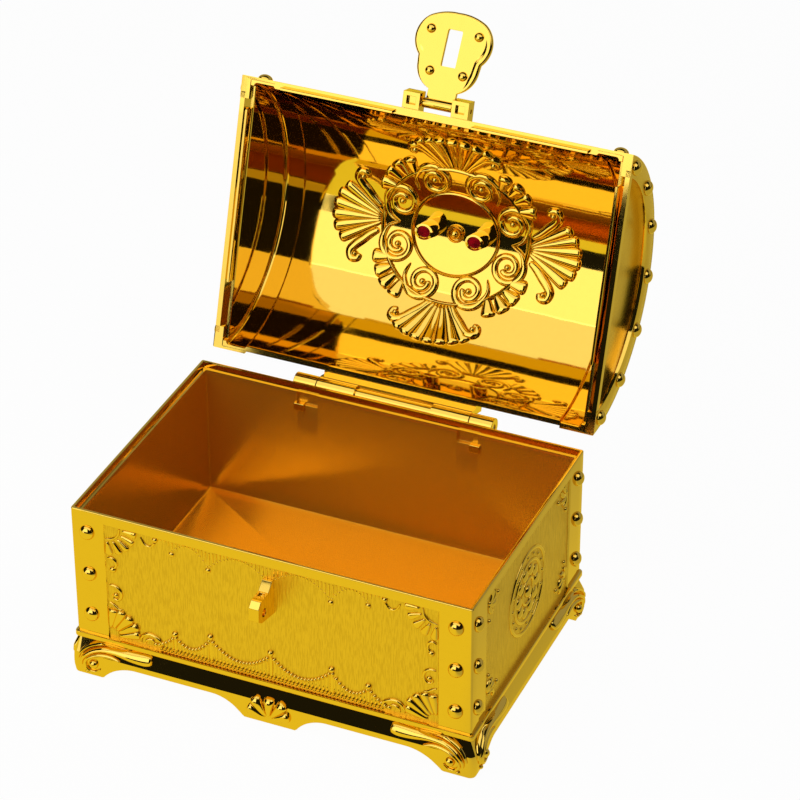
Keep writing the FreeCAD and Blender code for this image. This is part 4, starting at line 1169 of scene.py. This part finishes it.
class CHEST_OT_lid(bpy.types.Operator):
    """Make the lid's barrel, end walls, straps, tongues and studs"""
    bl_idname = "chest.lid"
    bl_label = "Lid"

    def execute(self, context):
        makers = (lid_shell_skin, lid_ends, lid_studs, lid_tongues, lid_front)
        gold_piece(context, "lid", "lid", makers, ("lid_shell",))
        return {"FINISHED"}


class CHEST_OT_lid_relief(bpy.types.Operator):
    """Make the medallion inside and outside the lid"""
    bl_idname = "chest.lid_relief"
    bl_label = "Lid relief"

    def execute(self, context):
        for name, inside in (("lid_medallion_inside", True), ("lid_medallion_outside", False)):
            gold_piece(context, name, "lid", (partial(medallion, inside),))
        return {"FINISHED"}


class CHEST_OT_hasp(bpy.types.Operator):
    """Make the hasp plate with its border, slot, barrel and studs"""
    bl_idname = "chest.hasp"
    bl_label = "Hasp"

    def execute(self, context):
        gold_piece(context, "hasp", "hasp", (hasp_skin,), ("hasp_plate",))
        return {"FINISHED"}


class CHEST_OT_fittings(bpy.types.Operator):
    """Finish the staple, hinge, ears, pins, screws and stone"""
    bl_idname = "chest.fittings"
    bl_label = "Fittings"

    def execute(self, context):
        finish = context.scene.chest_finish
        for node, body in (("lock_staple", "base"), ("hinge_bracket_right", "base"),
                           ("hinge_bracket_left", "base"), ("hinge_leaf", "lid"), ("hasp_ear_right", "lid"),
                           ("hasp_ear_left", "lid")):
            eased(node, body, 0.2, base_gold(context) if body == "base" else lid_gold(context))
        eased("lid_jewel", "lid", 0.15, stone_material(finish), sharp=12)
        for node, body in (("hinge_pin_right", "base"), ("hinge_pin_left", "base"), ("hasp_pin", "lid"),
                           ("plinth_screws", "base")):
            eased(node, body, 0.15, steel_material(finish))
        return {"FINISHED"}


WHITE = (1, 1, 1, 1)
# Table: half width and rear edge in metres, where its painted shadow sets in, and how far it glows over its
# paint
TABLE_HALF, TABLE_REAR, SHADE_FROM, SHADE_TO, TABLE_GLOW = 1.6, 2.2, 0.05, 0.12, 0.97
# Radiance of the dark part of the studio
DARK_LEVEL = 0.012
# Camera: turn and tilt in degrees, place in millimetres, focal length and width of the image in pixels
CAMERA_YAW, CAMERA_PITCH, CAMERA_PLACE = -23.361, -33.273, (405.23, -877.01, 736.35)
FOCAL_PIXELS, IMAGE_PIXELS, SENSOR = 3365.95, 800, 36.0
UPRIGHT, LEVEL = math.pi / 2, 0.0
# Lamps: name, place in millimetres, width and height in metres, and tilt
LAMPS = (("softbox", (-350.0, -700.0, 686.0), (0.9, 0.948), UPRIGHT),
         ("ceiling", (0.0, -156.0, 800.0), (1.5, 0.58), LEVEL),
         ("card", (-635.0, -700.0, 106.0), (0.53, 0.212), UPRIGHT))


def make_table(look, scene):
    """Level table, white to the camera. To the gold it glows in a painted warm tone, with a painted shadow at
    its right end, over paint that takes a shadow.
    """
    mesh = bpy.data.meshes.new("table")
    front = -look.table_front
    mesh.from_pydata([(-TABLE_HALF, front, 0), (TABLE_HALF, front, 0), (TABLE_HALF, TABLE_REAR, 0),
                      (-TABLE_HALF, TABLE_REAR, 0)], [], [(0, 1, 2, 3)])
    table = bpy.data.objects.new("table", mesh)
    scene.collection.objects.link(table)
    material = bpy.data.materials.new("table_top")
    mesh.materials.append(material)
    graph = Graph(material)
    camera, glossy, through = (graph.node("ShaderNodeLightPath", output=name)
                               for name in ("Is Camera Ray", "Is Glossy Ray", "Is Transmission Ray"))
    seen = camera.most(glossy.most(through))
    paint = graph.node("ShaderNodeBsdfDiffuse", {}, {"Color": rgba(look.floor)})
    across = graph.axis(graph.node("ShaderNodeTexCoord", output="Object"), 0)
    # Painted reflection: the gold sees the table in the warm bounce tone, and in the darker shade tone at its
    # right end, a painted shadow of the chest
    tone = graph.blend(across.step(SHADE_FROM, SHADE_TO), rgba(look.bounce), rgba(look.shade))
    tone = graph.blend(camera, tone, WHITE)
    white = graph.node("ShaderNodeEmission", {}, {"Color": tone, "Strength": 1.0})
    mixed = graph.node("ShaderNodeMixShader", {}, {0: seen * TABLE_GLOW, 1: paint, 2: white})
    graph.node("ShaderNodeOutputMaterial", {}, {"Surface": mixed})


def make_studio(look, scene):
    """World that is white to the camera and otherwise dark, with a pale backdrop low behind the chest."""
    scene.world = bpy.data.worlds.new("studio")
    graph = Graph(scene.world)
    place = graph.node("ShaderNodeTexCoord", output="Generated")
    y, z = graph.axis(place, 1), graph.axis(place, 2)
    backdrop = y.step(0.1, 0.35) * (1 - z.step(0.62, 0.78)) * z.step(-0.02, 0.1)
    level = backdrop * look.backdrop + DARK_LEVEL
    studio = graph.node("ShaderNodeBackground", {}, {"Color": WHITE, "Strength": level})
    plain = graph.node("ShaderNodeBackground", {}, {"Color": WHITE, "Strength": 1.0})
    camera = graph.node("ShaderNodeLightPath", output="Is Camera Ray")
    mixed = graph.node("ShaderNodeMixShader", {}, {0: camera, 1: studio, 2: plain})
    graph.node("ShaderNodeOutputWorld", {}, {"Surface": mixed})
    scene.view_settings.view_transform = "Standard"


def make_lamps(look, scene, m):
    """Three plain area lamps, whose power is pi times radiance times area."""
    for name, middle, size, tilt in LAMPS:
        light = bpy.data.lights.new(name, "AREA")
        light.shape = "RECTANGLE"
        light.size, light.size_y = size
        light.energy = math.pi * getattr(look, name) * size[0] * size[1]
        lamp = bpy.data.objects.new(name, light)
        lamp.location = m.on_base(np.array(middle))
        lamp.rotation_euler = (tilt, 0.0, 0.0)
        lamp.visible_camera = False
        scene.collection.objects.link(lamp)


def make_camera(scene, m):
    """Camera with the photograph's view: its axes are columns of right, up and back from yaw and pitch."""
    yaw, pitch = math.radians(CAMERA_YAW), math.radians(CAMERA_PITCH)
    ahead = np.array((math.sin(yaw) * math.cos(pitch), math.cos(yaw) * math.cos(pitch), math.sin(pitch)))
    right = np.array((math.cos(yaw), -math.sin(yaw), 0.0))
    data = bpy.data.cameras.new("camera")
    data.sensor_width = SENSOR
    data.lens = SENSOR * FOCAL_PIXELS / IMAGE_PIXELS
    camera = bpy.data.objects.new("camera", data)
    scene.collection.objects.link(camera)
    rows = np.stack((right, np.cross(right, ahead), -ahead, m.on_base(np.array(CAMERA_PLACE))), 1)
    camera.matrix_world = Matrix([*rows.tolist(), (0, 0, 0, 1)])
    scene.camera = camera


class CHEST_OT_stage(bpy.types.Operator):
    """Make the table, the studio light and the camera"""
    bl_idname = "chest.stage"
    bl_label = "Stage"

    def execute(self, context):
        scene = context.scene
        m = Measures(scene.chest_sizes)
        make_table(scene.chest_stage, scene)
        make_studio(scene.chest_stage, scene)
        make_lamps(scene.chest_stage, scene, m)
        make_camera(scene, m)
        return {"FINISHED"}


OPERATORS = (CHEST_OT_tub, CHEST_OT_tub_relief, CHEST_OT_plinth, CHEST_OT_lid, CHEST_OT_lid_relief,
             CHEST_OT_hasp, CHEST_OT_fittings, CHEST_OT_stage)


class CHEST_PT_panel(bpy.types.Panel):
    """Buttons and values of the treasure chest"""
    bl_idname = "CHEST_PT_panel"
    bl_label = "Treasure chest"
    bl_space_type = "VIEW_3D"
    bl_region_type = "UI"
    bl_category = "Chest"

    def draw(self, context):
        for operator in OPERATORS:
            self.layout.operator(operator.bl_idname)
        for group in (context.scene.chest_sizes, context.scene.chest_finish, context.scene.chest_stage):
            for name in type(group).__annotations__:
                self.layout.prop(group, name)


CLASSES = (ChestSizes, ChestFinish, ChestStage, *OPERATORS, CHEST_PT_panel)


def register():
    for item in CLASSES:
        bpy.utils.register_class(item)
    bpy.types.Scene.chest_sizes = PointerProperty(type=ChestSizes)
    bpy.types.Scene.chest_finish = PointerProperty(type=ChestFinish)
    bpy.types.Scene.chest_stage = PointerProperty(type=ChestStage)


def unregister():
    del bpy.types.Scene.chest_stage, bpy.types.Scene.chest_finish, bpy.types.Scene.chest_sizes
    for item in reversed(CLASSES):
        bpy.utils.unregister_class(item)


def main():
    """Register the add-on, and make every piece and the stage."""
    register()
    for operator in OPERATORS:
        group, name = operator.bl_idname.split(".")
        getattr(getattr(bpy.ops, group), name)()


if __name__ == "__main__":
    main()
